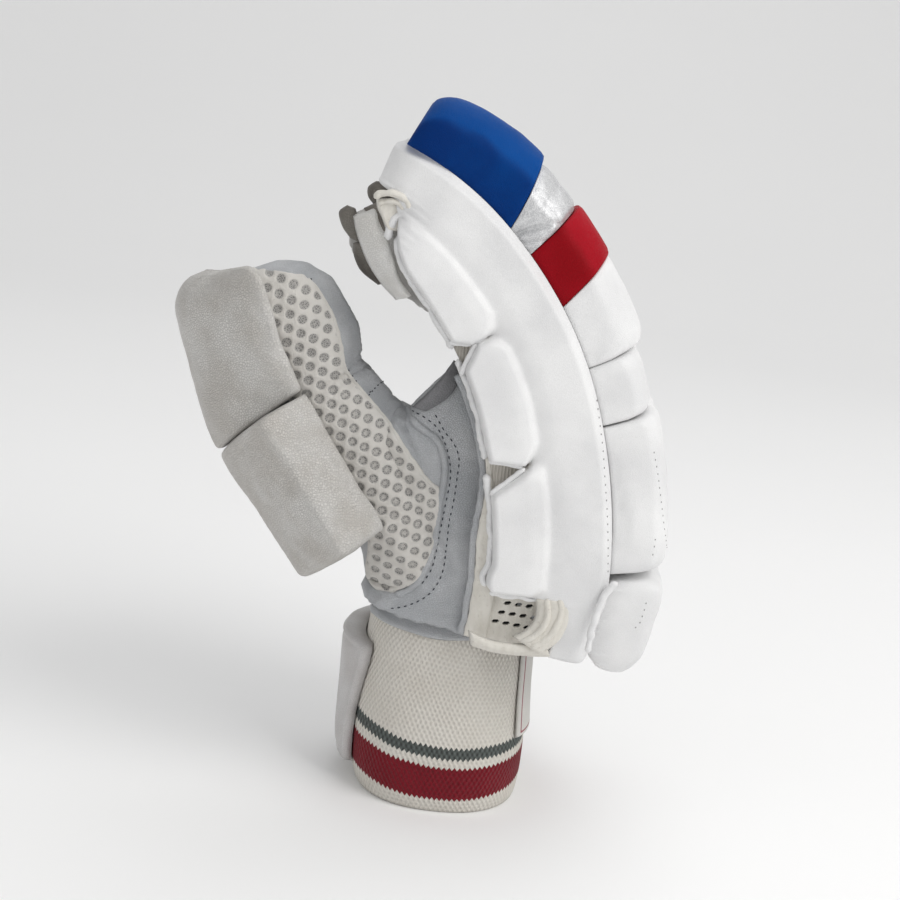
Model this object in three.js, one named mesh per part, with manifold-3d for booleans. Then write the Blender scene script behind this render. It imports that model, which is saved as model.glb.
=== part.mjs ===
import * as THREE from 'three';
import { LoftGeometry } from 'three/addons/geometries/LoftGeometry.js';
import { mergeVertices } from 'three/addons/utils/BufferGeometryUtils.js';
import Module from 'manifold-3d';

const wasm = await Module();
wasm.setup();

// Named sizes in millimetres and degrees.
// s runs up the hand from the wrist crease to the fingertips, n stands off the hand to the back,
// y runs across the hand from the index side (negative) to the little finger side.
const WRIST_X = 38.3;
const WRIST_Z = 64.6;
const WRIST_TILT = -9.5;
const HAND_BACK = 94;
const FINGER_REACH = 98;
const DIGIT_PITCH = 26;
const DIGIT_HALF = 12;
const WRIST_NARROWING = 0.19;
const STALL_PALM = 18;
const STALL_BACK = 21;
const STALL_CORNER = 8;
const FINGER_WALL = 2.5;
const FINGER_PADDING = 11;
const PALM_REACH = 63;
const PALM_WALL = 2.5;
const PALM_CORNER = 13;
const SEAM_GAP = 0.4;
const ROLL_GAP = 1.2;
const ROLL_HEIGHT = 22.6;
const ROLL_CHAMFER = 11;
const ROLL_ROUND = 4;
const CREASE_DEPTH = 3.6;
const TIP_DROP = 4.4;
const SIDE_THICK = 5;
const SIDE_BULGE = 6.8;
const SIDE_PALM_EDGE = 20;
const SIDE_PAD_THICK = 7.6;
const OUTER_SIDE_THICK = 6;
const WELT_WIDTH = 5;
const CUFF_AXIS_X = 7;
const CUFF_HEIGHT = 82;
const CUFF_HALF_X = 35;
const CUFF_HALF_Y = 41;
const CUFF_WALL = 3;
const STRAP_THICK = 3.4;
const STRAP_LENGTH = 48;
const THUMB_X = -3.8;
const THUMB_Y = -29;
const THUMB_Z = 90;
const THUMB_LEAN = 35.5;
const THUMB_LENGTH = 130;
const THUMB_ROLL = 33;
const THUMB_HALF = 18;
const THUMB_PALM = 21;
const THUMB_BACK = 13;
const THUMB_WALL = 2.4;
const THUMB_PAD_THICK = 18;
const THUMB_PAD_HALF = 25;
const MESH_HALF = 11;

const DEG = Math.PI / 180;

// Hand and finger paths: arcs one after the other, each with a length and a bend.
const HAND_ARCS = [
  { length: 0.319, bend: 10 },
  { length: 0.234, bend: 6 },
  { length: 0.447, bend: 12 },
];
const DIGITS = [
  { name: 'index', column: -1.5, width: 1, reach: 1, bones: [0.388, 0.255, 0.357], bends: [18, 10, 22], rollEnd: 1.015 },
  { name: 'middle', column: -0.5, width: 1, reach: 1.02, bones: [0.385, 0.27, 0.345], bends: [25, 21, 31], rollEnd: 0.84 },
  { name: 'ring', column: 0.5, width: 1, reach: 1, bones: [0.384, 0.263, 0.353], bends: [27, 23, 32], rollEnd: 0.83 },
  { name: 'little', column: 1.5, width: 0.92, reach: 0.87, bones: [0.381, 0.238, 0.381], bends: [29, 23, 30], rollEnd: 0.84 },
];

// Follows the arcs to distance s and gives the point and the heading there.
function follow(start, arcs, s) {
  let { x, z, a } = start;
  let left = s;
  arcs.forEach((arc, i) => {
    const last = i === arcs.length - 1;
    if (left <= 0 && i > 0) return;
    const run = last || left < arc.length ? left : arc.length;
    const k = (arc.bend * DEG) / arc.length;
    const a1 = a + k * run;
    if (Math.abs(k) > 1e-9) {
      x += (Math.cos(a1) - Math.cos(a)) / k;
      z += (Math.sin(a1) - Math.sin(a)) / k;
    } else {
      x -= Math.sin(a) * run;
      z += Math.cos(a) * run;
    }
    a = a1;
    left -= run;
  });
  return { x, z, a };
}

const wristStart = { x: WRIST_X, z: WRIST_Z, a: WRIST_TILT * DEG };

function digitArcs(digit) {
  const reach = FINGER_REACH * digit.reach;
  const hand = HAND_ARCS.map((arc) => ({ length: arc.length * HAND_BACK, bend: arc.bend }));
  const bones = digit.bones.map((share, i) => ({ length: share * reach, bend: digit.bends[i] }));
  return hand.concat(bones);
}

// The hand narrows smoothly from the knuckles to the wrist.
function across(s) {
  const below = Math.max(0, 1 - s / HAND_BACK);
  return 1 - WRIST_NARROWING * below * below;
}

// Turns hand measures into a point of the part.
function handPoint(digit, s, n, y) {
  const at = follow(wristStart, digit.arcs, s);
  return new THREE.Vector3(at.x + n * Math.cos(at.a), y * across(s), at.z + n * Math.sin(at.a));
}

DIGITS.forEach((digit) => {
  digit.arcs = digitArcs(digit);
  digit.y = digit.column * DIGIT_PITCH;
  digit.half = DIGIT_HALF * digit.width;
  digit.tip = HAND_BACK + FINGER_REACH * digit.reach;
});
const [INDEX, MIDDLE, RING, LITTLE] = DIGITS;
const HAND_HALF = 1.5 * DIGIT_PITCH + DIGIT_HALF;

// Thumb path in its own plane, with the cross directions rolled toward the index side.
const thumbStart = { x: THUMB_X, z: THUMB_Z, a: THUMB_LEAN * DEG };
const THUMB_ARCS = [
  { length: 0.56 * THUMB_LENGTH, bend: 0 },
  { length: 0.44 * THUMB_LENGTH, bend: -13 },
];
function thumbPoint(t, d, e) {
  const at = follow(thumbStart, THUMB_ARCS, t);
  const roll = THUMB_ROLL * DEG;
  const away = new THREE.Vector3(-Math.cos(at.a), 0, -Math.sin(at.a));
  const front = new THREE.Vector3(0, -1, 0);
  const back = away.clone().multiplyScalar(Math.cos(roll)).addScaledVector(front, Math.sin(roll));
  const side = away.clone().multiplyScalar(-Math.sin(roll)).addScaledVector(front, Math.cos(roll));
  const y = THUMB_Y - 0.07 * t;
  return new THREE.Vector3(at.x, y, at.z).addScaledVector(back, d).addScaledVector(side, e);
}

// Solids are lofts; these helpers close them, turn them outward and combine them.
function outward(geometry) {
  const clean = new THREE.BufferGeometry();
  clean.setAttribute('position', geometry.getAttribute('position'));
  clean.setIndex(geometry.getIndex());
  const merged = mergeVertices(clean, 1e-4);
  const p = merged.getAttribute('position');
  const index = Array.from(merged.getIndex().array);
  const kept = [];
  let volume = 0;
  const a = new THREE.Vector3();
  const b = new THREE.Vector3();
  const c = new THREE.Vector3();
  for (let i = 0; i < index.length; i += 3) {
    if (index[i] === index[i + 1] || index[i + 1] === index[i + 2] || index[i] === index[i + 2]) continue;
    kept.push(index[i], index[i + 1], index[i + 2]);
    a.fromBufferAttribute(p, index[i]);
    b.fromBufferAttribute(p, index[i + 1]);
    c.fromBufferAttribute(p, index[i + 2]);
    volume += a.dot(b.cross(c)) / 6;
  }
  if (volume < 0) kept.reverse();
  merged.setIndex(kept);
  return merged;
}

// Ends close on the middle of the section, or on its middle line for thin plates whose
// ring runs out along one face and back along the other.
function closing(ring, ends) {
  if (ends === 'line') {
    return ring.map((p, i) => p.clone().add(ring[ring.length - 1 - i]).multiplyScalar(0.5));
  }
  const middle = ring.reduce((sum, p) => sum.add(p), new THREE.Vector3()).divideScalar(ring.length);
  return ring.map(() => middle.clone());
}
function loft(sections, ends = 'middle') {
  const first = closing(sections[0], ends);
  const last = closing(sections[sections.length - 1], ends);
  const all = ends === 'loop' ? sections : [first, ...sections, last];
  return outward(new LoftGeometry(all));
}

function solid(geometry) {
  const mesh = new wasm.Mesh({
    numProp: 3,
    vertProperties: new Float32Array(geometry.getAttribute('position').array),
    triVerts: new Uint32Array(geometry.getIndex().array),
  });
  mesh.merge();
  return new wasm.Manifold(mesh);
}

function shape(manifold) {
  const mesh = manifold.getMesh();
  const geometry = new THREE.BufferGeometry();
  geometry.setAttribute('position', new THREE.BufferAttribute(new Float32Array(mesh.vertProperties), 3));
  geometry.setIndex(Array.from(mesh.triVerts));
  return geometry;
}

const group = new THREE.Group();
group.name = 'batting_glove';

const LOOKS = {
  white: { color: 0xe9e9ea, roughness: 0.5, metalness: 0 },
  blue: { color: 0x0c3f8e, roughness: 0.45, metalness: 0 },
  red: { color: 0xa01626, roughness: 0.5, metalness: 0 },
  silver: { color: 0xbfc1c4, roughness: 0.35, metalness: 0.7 },
  cream: { color: 0xddd9cf, roughness: 0.75, metalness: 0 },
  thumb: { color: 0xcfcdc8, roughness: 0.6, metalness: 0 },
  palm: { color: 0xbcbfc4, roughness: 0.65, metalness: 0 },
  mesh: { color: 0xd8d4c8, roughness: 0.85, metalness: 0 },
  knit: { color: 0xd9d4c9, roughness: 0.9, metalness: 0 },
};

function add(name, geometry, look) {
  const flat = geometry.index ? geometry.toNonIndexed() : geometry;
  flat.computeVertexNormals();
  const mesh = new THREE.Mesh(flat, new THREE.MeshStandardMaterial(LOOKS[look]));
  mesh.name = name;
  mesh.material.name = name;
  group.add(mesh);
}

// Ring shapes in a cross-section, as pairs of coordinates.
// Rounded box from lo to hi, with CORNER_STEPS points on each corner.
const CORNER_STEPS = 3;
function roundedRing(aLo, aHi, bLo, bHi, radius, steps = CORNER_STEPS) {
  const r = Math.max(0.05, Math.min(radius, (aHi - aLo) / 2 - 0.05, (bHi - bLo) / 2 - 0.05));
  const corners = [
    [aHi - r, bHi - r, 0],
    [aLo + r, bHi - r, 90],
    [aLo + r, bLo + r, 180],
    [aHi - r, bLo + r, 270],
  ];
  return corners.flatMap(([a, b, from]) => Array.from({ length: steps }, (_, k) => {
    const angle = (from + (90 * k) / (steps - 1)) * DEG;
    return [a + r * Math.cos(angle), b + r * Math.sin(angle)];
  }));
}

// Oval ring, squarer than an ellipse when power is above 2.
function ovalRing(halfA, halfB, count, power) {
  return Array.from({ length: count }, (_, k) => {
    const angle = (2 * Math.PI * k) / count;
    const c = Math.cos(angle);
    const q = Math.sin(angle);
    const bulge = Math.pow(Math.pow(Math.abs(c), power) + Math.pow(Math.abs(q), power), -1 / power);
    return [halfA * c * bulge, halfB * q * bulge];
  });
}

// Shares along a length, closer together near both rounded ends.
const END_STEPS = [0, 0.28, 1];
function stations(from, to, step, round) {
  const inner = Math.max(2, Math.round((to - from - 2 * round) / step));
  const rising = END_STEPS.map((f) => ({ s: from + f * round, edge: 1 - f }));
  const middle = Array.from({ length: inner - 1 }, (_, k) => ({
    s: from + round + ((to - from - 2 * round) * (k + 1)) / inner,
    edge: 0,
  }));
  const falling = [...END_STEPS].reverse().map((f) => ({ s: to - f * round, edge: 1 - f }));
  return rising.concat(middle, falling);
}
const roundOff = (edge) => 1 - Math.sqrt(Math.max(0, 1 - edge * edge));

// Value read from a table of rows by a share, with straight runs between rows.
function read(rows, key, at) {
  const i = rows.findIndex((row) => row.at >= at);
  if (i === 0) return rows[0][key];
  if (i < 0) return rows[rows.length - 1][key];
  const f = (at - rows[i - 1].at) / (rows[i].at - rows[i - 1].at);
  return rows[i - 1][key] + f * (rows[i][key] - rows[i - 1][key]);
}

// Knitted cuff: an open tube standing on its flat hem, drawn in where the hand covers it.
// Columns: at is the share of the cuff height, shift moves the axis, x and y scale the half widths.
const CUFF_ROWS = [
  { at: 0, shift: 0.9, x: 0.955, y: 0.985 },
  { at: 0.2, shift: 0.5, x: 0.98, y: 0.985 },
  { at: 0.55, shift: 0.6, x: 0.93, y: 0.95 },
  { at: 0.82, shift: 1.2, x: 0.885, y: 0.93 },
  { at: 0.9, shift: 1.8, x: 0.82, y: 0.88 },
  { at: 1, shift: 2.6, x: 0.74, y: 0.84 },
];
const CUFF_RING = 32;
function cuffPoint(share, a, b) {
  const tilt = WRIST_TILT * DEG * Math.min(1, share);
  const x = CUFF_AXIS_X + read(CUFF_ROWS, 'shift', share);
  return new THREE.Vector3(x + a * Math.cos(tilt), b, CUFF_HEIGHT * share + a * Math.sin(tilt));
}
function cuffRing(share, inset) {
  const halfX = CUFF_HALF_X * read(CUFF_ROWS, 'x', share) - inset;
  const halfY = CUFF_HALF_Y * read(CUFF_ROWS, 'y', share) - inset;
  return ovalRing(halfX, halfY, CUFF_RING, 2.3).map(([a, b]) => cuffPoint(share, a, b));
}
const CUFF_SHARES = [0, 0.2, 0.55, 0.82, 0.87, 0.93, 1];
const cuffLoop = CUFF_SHARES.map((share) => cuffRing(share, 0))
  .concat([...CUFF_SHARES].reverse().map((share) => cuffRing(share, CUFF_WALL)));
add('cuff', loft(cuffLoop.concat([cuffLoop[0]]), 'loop'), 'knit');

// Room kept clear of other pieces around the tucked top of the cuff.
const cuffRoom = solid(loft([0.75, 0.82, 0.87, 0.93, 1, 1.02].map((share) => cuffRing(share, -2 * SEAM_GAP))));

// Closure strap: a bent plate on the palm side of the cuff.
// Columns: at is the share of the strap length from its low end, lift stands it off the cuff.
const STRAP_ROWS = [
  { at: 0, lift: 0.2, from: 122, to: 200 },
  { at: 0.08, lift: 0.3, from: 116, to: 205 },
  { at: 0.5, lift: 1, from: 114, to: 207 },
  { at: 0.92, lift: 3.6, from: 116, to: 205 },
  { at: 1, lift: 4.2, from: 122, to: 200 },
];
const STRAP_FOOT = 7;
const STRAP_STEPS = 9;
function ovalAt(halfA, halfB, degrees, power) {
  const c = Math.cos(degrees * DEG);
  const q = Math.sin(degrees * DEG);
  const bulge = Math.pow(Math.pow(Math.abs(c), power) + Math.pow(Math.abs(q), power), -1 / power);
  return [halfA * c * bulge, halfB * q * bulge];
}
function cuffOffset(share, degrees, off) {
  const halfX = CUFF_HALF_X * read(CUFF_ROWS, 'x', share) + off;
  const halfY = CUFF_HALF_Y * read(CUFF_ROWS, 'y', share) + off;
  const [a, b] = ovalAt(halfX, halfY, degrees, 2.3);
  return cuffPoint(share, a, b);
}
const STRAP_SHARES = [0, 0.08, 0.3, 0.5, 0.72, 0.92, 1];
const strapSections = STRAP_SHARES.map((at) => {
  const share = (STRAP_FOOT + at * STRAP_LENGTH) / CUFF_HEIGHT;
  const from = read(STRAP_ROWS, 'from', at);
  const to = read(STRAP_ROWS, 'to', at);
  const lift = read(STRAP_ROWS, 'lift', at) + 2 * SEAM_GAP;
  const angles = Array.from({ length: STRAP_STEPS + 1 }, (_, j) => from + ((to - from) * j) / STRAP_STEPS);
  const under = angles.map((angle) => cuffOffset(share, angle, lift));
  const over = angles.map((angle, j) => {
    const rim = j === 0 || j === STRAP_STEPS ? 0.35 : 1;
    return cuffOffset(share, angle, lift + STRAP_THICK * rim);
  });
  return under.concat(over.reverse());
});
add('closure_strap', loft(strapSections, 'line'), 'white');

// Bare label patch at the back of the cuff.
const LABEL_FOOT = 0.22;
const LABEL_HEAD = 0.72;
const LABEL_FROM = -36;
const LABEL_TO = 36;
const LABEL_THICK = 1.2;
const labelSections = Array.from({ length: 6 }, (_, k) => {
  const share = LABEL_FOOT + ((LABEL_HEAD - LABEL_FOOT) * k) / 5;
  const angles = Array.from({ length: 8 }, (_, j) => LABEL_FROM + ((LABEL_TO - LABEL_FROM) * j) / 7);
  const under = angles.map((angle) => cuffOffset(share, angle, 2 * SEAM_GAP));
  const over = [...angles].reverse().map((angle) => cuffOffset(share, angle, 2 * SEAM_GAP + LABEL_THICK));
  return under.concat(over);
});
add('wrist_label', loft(labelSections, 'line'), 'white');

// Finger stalls: padded tubes, closed at the tip and open to the hand.
function stallSolid(digit, inset, from, tip) {
  const lo = -STALL_PALM + (inset ? FINGER_WALL : 0);
  const hi = STALL_BACK - (inset ? FINGER_PADDING : 0);
  const half = digit.half - (inset ? FINGER_WALL : 0);
  const round = inset ? 8 : 11;
  const rows = stations(from, tip, 13, round).filter((row) => row.s > from + round || row.s === from);
  return loft(rows.map(({ s, edge }) => {
    const near = s === from ? 0 : edge;
    const cut = roundOff(near) * 0.72 * half;
    const ring = roundedRing(lo + cut * 0.8, hi - cut * 0.5, -half + cut, half - cut, STALL_CORNER);
    return ring.map(([n, y]) => handPoint(digit, s, n, digit.y + y));
  }));
}
DIGITS.forEach((digit) => {
  const outer = solid(stallSolid(digit, false, HAND_BACK + SEAM_GAP, digit.tip));
  const inner = solid(stallSolid(digit, true, HAND_BACK - 4, digit.tip - FINGER_WALL));
  add(`${digit.name}_stall`, shape(outer.subtract(inner)), 'palm');
});

// Thumb stall: a hollow tube on its own path, with a mesh strip on the side facing out.
// Columns: at is the share of the thumb length, palm and back scale the depth, half scales the width.
const THUMB_ROWS = [
  { at: -0.3, palm: 0.8, back: 0.7, half: 0.86 },
  { at: 0, palm: 1, back: 1, half: 1 },
  { at: 0.35, palm: 1, back: 1, half: 1.03 },
  { at: 0.62, palm: 0.98, back: 1, half: 1.02 },
  { at: 0.8, palm: 1.16, back: 1, half: 1.06 },
  { at: 1, palm: 0.95, back: 1, half: 0.98 },
];
function thumbTube(inset, grow, from, to) {
  const round = inset ? 9 : 12;
  const rows = stations(from, to, 12, round).filter((row) => row.s > from + round || row.s === from);
  return loft(rows.map(({ s, edge }) => {
    const near = s === from ? 0 : edge;
    const at = s / THUMB_LENGTH;
    const half = THUMB_HALF * read(THUMB_ROWS, 'half', at) - inset + grow;
    const cut = roundOff(near) * 0.7 * half;
    const lo = -THUMB_PALM * read(THUMB_ROWS, 'palm', at) + inset - grow + cut;
    const hi = THUMB_BACK * read(THUMB_ROWS, 'back', at) - inset + grow - cut * 0.5;
    const ring = roundedRing(lo, hi, -half + cut, half - cut, 13);
    return ring.map(([d, e]) => thumbPoint(s, d, e));
  }));
}
const thumbOuter = solid(thumbTube(0, 0, 0, THUMB_LENGTH));
const thumbInner = solid(thumbTube(THUMB_WALL, 0, -8, THUMB_LENGTH - THUMB_WALL));
const thumbShell = thumbOuter.subtract(thumbInner).subtract(cuffRoom);

// The mesh strip is the part of the wall that lies in a block on the outward side.
// Columns: at is the share of the thumb length, mid is the middle of the strip.
const MESH_CORNER = 4;
const MESH_ROWS = [
  { at: -0.1, mid: -0.3, half: 1.1 },
  { at: 0.2, mid: -0.3, half: 1.25 },
  { at: 0.5, mid: -0.25, half: 1.2 },
  { at: 0.66, mid: -0.1, half: 1.1 },
  { at: 0.8, mid: 0.05, half: 1 },
  { at: 1.2, mid: 0.1, half: 0.9 },
];
function meshBlock(grow) {
  const shares = [0.015, 0.1, 0.25, 0.4, 0.55, 0.7, 0.85, 1, 1.1];
  return loft(shares.map((share, i) => {
    const at = i === 0 ? share - grow / THUMB_LENGTH : share;
    const mid = MESH_HALF * read(MESH_ROWS, 'mid', at);
    const half = MESH_HALF * read(MESH_ROWS, 'half', at) + grow;
    const ring = roundedRing(mid - half, mid + half, MESH_CORNER - grow, THUMB_HALF * 2, 0.2);
    return ring.map(([d, e]) => thumbPoint(at * THUMB_LENGTH, d, e));
  }));
}
add('thumb_mesh', shape(thumbShell.intersect(solid(meshBlock(0)))), 'mesh');
add('thumb_leather', shape(thumbShell.subtract(solid(meshBlock(SEAM_GAP)))), 'palm');

// Two guard pads on the back of the thumb.
// Columns: from and to are shares of the thumb length, thick scales the depth,
// low scales the outer half width, near and far the half width by the mesh at the two ends.
const THUMB_PADS = [
  { name: 'thumb_base_pad', from: 0.16, to: 0.6, tip: 0, thick: 1.2, low: 1.12, near: 0.95, far: 0.93 },
  { name: 'thumb_tip_pad', from: 0.606, to: 1.03, tip: 1, thick: 1, low: 1.08, near: 0.9, far: 1.12 },
];
const PAD_BEVEL = 7;
const PAD_TIP_ROUND = 9;
const PAD_END_ROUND = 3.2;
THUMB_PADS.forEach((pad) => {
  const from = pad.from * THUMB_LENGTH;
  const to = pad.to * THUMB_LENGTH;
  const rows = stations(from, to, 12, 7);
  add(pad.name, loft(rows.map(({ s, edge }) => {
    const far = s > (from + to) / 2;
    const cut = roundOff(edge) * (far && pad.tip ? PAD_TIP_ROUND : PAD_END_ROUND);
    const at = s / THUMB_LENGTH;
    const lo = THUMB_BACK * read(THUMB_ROWS, 'back', Math.min(1, at)) + SEAM_GAP;
    const hi = lo + THUMB_PAD_THICK * (pad.thick - 0.14 * Math.max(0, at - 0.7) / 0.3) - cut;
    const low = -THUMB_PAD_HALF * pad.low + cut;
    const wide = pad.near + ((pad.far - pad.near) * (s - from)) / (to - from);
    const high = THUMB_PAD_HALF * wide - cut;
    const bevel = PAD_BEVEL;
    const ring = [
      [lo, low + 2], [lo, high - 2], [lo + 1.5, high], [hi - bevel, high], [hi - bevel * 0.55, high - bevel * 0.3],
      [hi - 0.6, high - bevel * 1.15], [hi, high - bevel * 1.7], [hi + 1, 0], [hi, low + bevel * 1.3],
      [hi - bevel * 0.3, low + bevel * 0.5], [hi - bevel, low], [lo + 1.5, low],
    ];
    return ring.map(([d, e]) => thumbPoint(s, d, e));
  })), 'thumb');
});

// Palm shell: the hollow hand part with a collar for the thumb and the web beside it.
// Columns: at is the share of the hand length, palm and back are shares of the two reaches.
const PALM_ROWS = [
  { at: 0.03, palm: 1, back: -0.1, pad: 0 },
  { at: 0.13, palm: 0.96, back: 0.06, pad: 0.05 },
  { at: 0.24, palm: 0.82, back: 0.3, pad: 0.15 },
  { at: 0.35, palm: 0.67, back: 0.72, pad: 0.5 },
  { at: 0.45, palm: 0.55, back: 1, pad: 1 },
  { at: 0.62, palm: 0.42, back: 1, pad: 1 },
  { at: 0.82, palm: 0.33, back: 1, pad: 1 },
  { at: 1, palm: 0.286, back: 1, pad: 1 },
];
const PALM_SHARES = [0.04, 0.1, 0.16, 0.22, 0.28, 0.35, 0.42, 0.5, 0.6, 0.7, 0.8, 0.9, 1];
function palmLoft(inset) {
  const shares = inset ? [-0.06, ...PALM_SHARES.slice(1, -1), 1.05] : PALM_SHARES;
  return loft(shares.map((share) => {
    const padding = (FINGER_PADDING - PALM_WALL) * read(PALM_ROWS, 'pad', share);
    const lo = -PALM_REACH * read(PALM_ROWS, 'palm', share) + inset;
    const hi = STALL_BACK * read(PALM_ROWS, 'back', share) - (inset ? inset + padding : 0);
    const half = HAND_HALF - inset;
    const ring = roundedRing(lo, hi, -half, half, inset ? PALM_CORNER - inset : PALM_CORNER);
    return ring.map(([n, y]) => {
      const rise = Math.max(0, (-n / PALM_REACH - 0.7) / 0.3);
      const s = share * HAND_BACK + (share < 0.2 ? 7 * rise * rise * (1 - share / 0.2) : 0);
      return handPoint(INDEX, s, n, y);
    });
  }));
}
function collarLoft(inset) {
  const shares = inset ? [-0.2, -0.12, -0.05, 0.02] : [-0.18, -0.12, -0.06, -SEAM_GAP / THUMB_LENGTH];
  return loft(shares.map((share, i) => {
    const half = THUMB_HALF * read(THUMB_ROWS, 'half', share) - inset;
    const lo = -THUMB_PALM * read(THUMB_ROWS, 'palm', share) + inset;
    const hi = THUMB_BACK * read(THUMB_ROWS, 'back', share) - inset;
    const ring = roundedRing(lo, hi, -half, half, 13);
    return ring.map(([d, e]) => thumbPoint(share * THUMB_LENGTH, d, e));
  }));
}

// The web fills the fork between the thumb and the root of the index finger.
const WEB_FRONT = 46;
const WEB_DEPTH = 20;
function webLoft(inset) {
  const corners = [
    thumbPoint(0.42 * THUMB_LENGTH, -THUMB_PALM + 4, 0),
    handPoint(INDEX, HAND_BACK * 1.31, -STALL_PALM - 1.5, 0),
    handPoint(INDEX, HAND_BACK * 1.2, -STALL_PALM - 1.5, 0),
    handPoint(INDEX, HAND_BACK * 1.1, -STALL_PALM - 1.5, 0),
    handPoint(INDEX, HAND_BACK * 0.96, -STALL_PALM - 1.5, 0),
    handPoint(INDEX, HAND_BACK * 0.62, -STALL_PALM, 0),
    handPoint(INDEX, HAND_BACK * 0.34, -STALL_PALM - 6, 0),
    thumbPoint(-0.08 * THUMB_LENGTH, -THUMB_PALM + 4, 0),
    thumbPoint(0.15 * THUMB_LENGTH, -THUMB_PALM + 6, 0),
  ];
  const middle = corners.reduce((sum, p) => sum.add(p), new THREE.Vector3()).divideScalar(corners.length);
  const levels = inset ? [WEB_FRONT - inset, WEB_FRONT - WEB_DEPTH - 6] : [WEB_FRONT, WEB_FRONT - 3, WEB_FRONT - WEB_DEPTH];
  return loft(levels.map((level, i) => corners.map((p) => {
    const shrink = !inset && i === 0 ? 0.9 : 1;
    const q = p.clone().sub(middle);
    q.y = 0;
    const length = q.length();
    q.multiplyScalar(((length - inset * 1.6) / length) * shrink);
    return new THREE.Vector3(middle.x + q.x, -level, middle.z + q.z);
  })));
}
const thumbRoom = solid(thumbTube(0, SEAM_GAP, -SEAM_GAP, THUMB_LENGTH + SEAM_GAP));
const wristFloor = solid(loft([-60, 0].map((drop) => roundedRing(-120, 120, -90, 90, 1)
  .map(([n, y]) => handPoint(INDEX, HAND_BACK * 0.04 + drop, n, y)))));
const palmOuter = solid(palmLoft(0)).add(solid(collarLoft(0))).add(solid(webLoft(0)));
const palmInner = solid(palmLoft(PALM_WALL)).add(solid(collarLoft(PALM_WALL))).add(solid(webLoft(PALM_WALL)));
const palmShell = palmOuter.subtract(palmInner).subtract(thumbRoom).subtract(wristFloor).subtract(cuffRoom);
add('palm_shell', shape(palmShell), 'palm');

// Rolls on the fingers and blocks on the back of the hand, all cut from one block shape.
// Ends may slope: slopes move the top of an end along the hand.
function block(digit, from, to, slopeFrom, slopeTo, lo, hi, yLo, yHi, chamferLo, dip, drop = 0) {
  const rows = stations(from, to, 13, Math.min(ROLL_ROUND, (to - from) / 3));
  return loft(rows.map(({ s, edge }) => {
    const cut = roundOff(edge) * 2.2;
    const top = hi - cut - dip * edge * edge - drop * Math.pow((s - from) / (to - from), 2);
    const a = yLo + cut;
    const b = yHi - cut;
    const c = chamferLo;
    const d = Math.min(6, (b - a) / 4);
    const ring = [
      [lo, a + 1], [lo + 1, a], [top - c, a], [top - c * 0.66, a + c * 0.12], [top - c * 0.1, a + c * 0.74],
      [top + 0.6, (a + b) / 2], [top, b - d], [top - d * 0.4, b - d * 0.2], [top - d * 1.2, b], [lo, b - 1],
    ];
    return ring.map(([n, y]) => {
      const rise = (n - lo) / ROLL_HEIGHT;
      const along = (s - from) / (to - from);
      return handPoint(digit, s + rise * (slopeFrom * (1 - along) + slopeTo * along), n, y);
    });
  }));
}
const ROLL_LO = STALL_BACK + SEAM_GAP;
const ROLL_HI = ROLL_LO + ROLL_HEIGHT;

// Across each finger the roll fills its column; the outer columns reach over the side panels.
const SIDE_REACH = HAND_HALF + SIDE_THICK + SIDE_BULGE * 0.6;
const COLUMNS = [
  { digit: INDEX, lo: -SIDE_REACH, hi: -DIGIT_PITCH, chamfer: 1 },
  { digit: MIDDLE, lo: -DIGIT_PITCH, hi: 0, chamfer: 0.4 },
  { digit: RING, lo: 0, hi: DIGIT_PITCH, chamfer: 0.4 },
  { digit: LITTLE, lo: DIGIT_PITCH, hi: HAND_HALF + OUTER_SIDE_THICK, chamfer: 0.4 },
];

// Columns: from and to are shares of the finger reach, slopes are in millimetres at the top.
const ROLLS = [
  { name: 'base_roll', from: 0.135, to: 0.34, slopeFrom: 1, slopeTo: 5.4, height: 0.98, look: 'white' },
  { name: 'middle_roll', from: 0.34, to: 0.53, slopeFrom: 5.4, slopeTo: 2, height: 1.02, look: 'red' },
  { name: 'flex_roll', from: 0.53, to: 0.63, slopeFrom: 2, slopeTo: 6.6, height: 0.97, look: 'silver' },
  { name: 'tip_roll', from: 0.63, to: 1.015, slopeFrom: 6.6, slopeTo: -1.5, height: 1.1, look: 'blue' },
];
COLUMNS.forEach((column) => {
  const { digit } = column;
  const lo = column.lo + (column.digit === INDEX ? 0 : ROLL_GAP / 2);
  const hi = column.hi - (column.digit === LITTLE ? 0 : ROLL_GAP / 2);
  const reach = FINGER_REACH * digit.reach;
  ROLLS.forEach((roll) => {
    const from = HAND_BACK + roll.from * reach + SEAM_GAP / 2;
    const last = roll.name === 'tip_roll';
    const to = HAND_BACK + (last ? digit.rollEnd : roll.to) * reach - SEAM_GAP / 2;
    const height = ROLL_LO + ROLL_HEIGHT * roll.height;
    const geometry = block(digit, from, to, roll.slopeFrom, roll.slopeTo, ROLL_LO, height, lo, hi,
      ROLL_CHAMFER * column.chamfer, roll.name === 'flex_roll' ? 0.6 : CREASE_DEPTH * 0.5, last ? TIP_DROP : 0);
    add(`${digit.name}_${roll.name}`, geometry, roll.look);
  });
});

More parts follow.
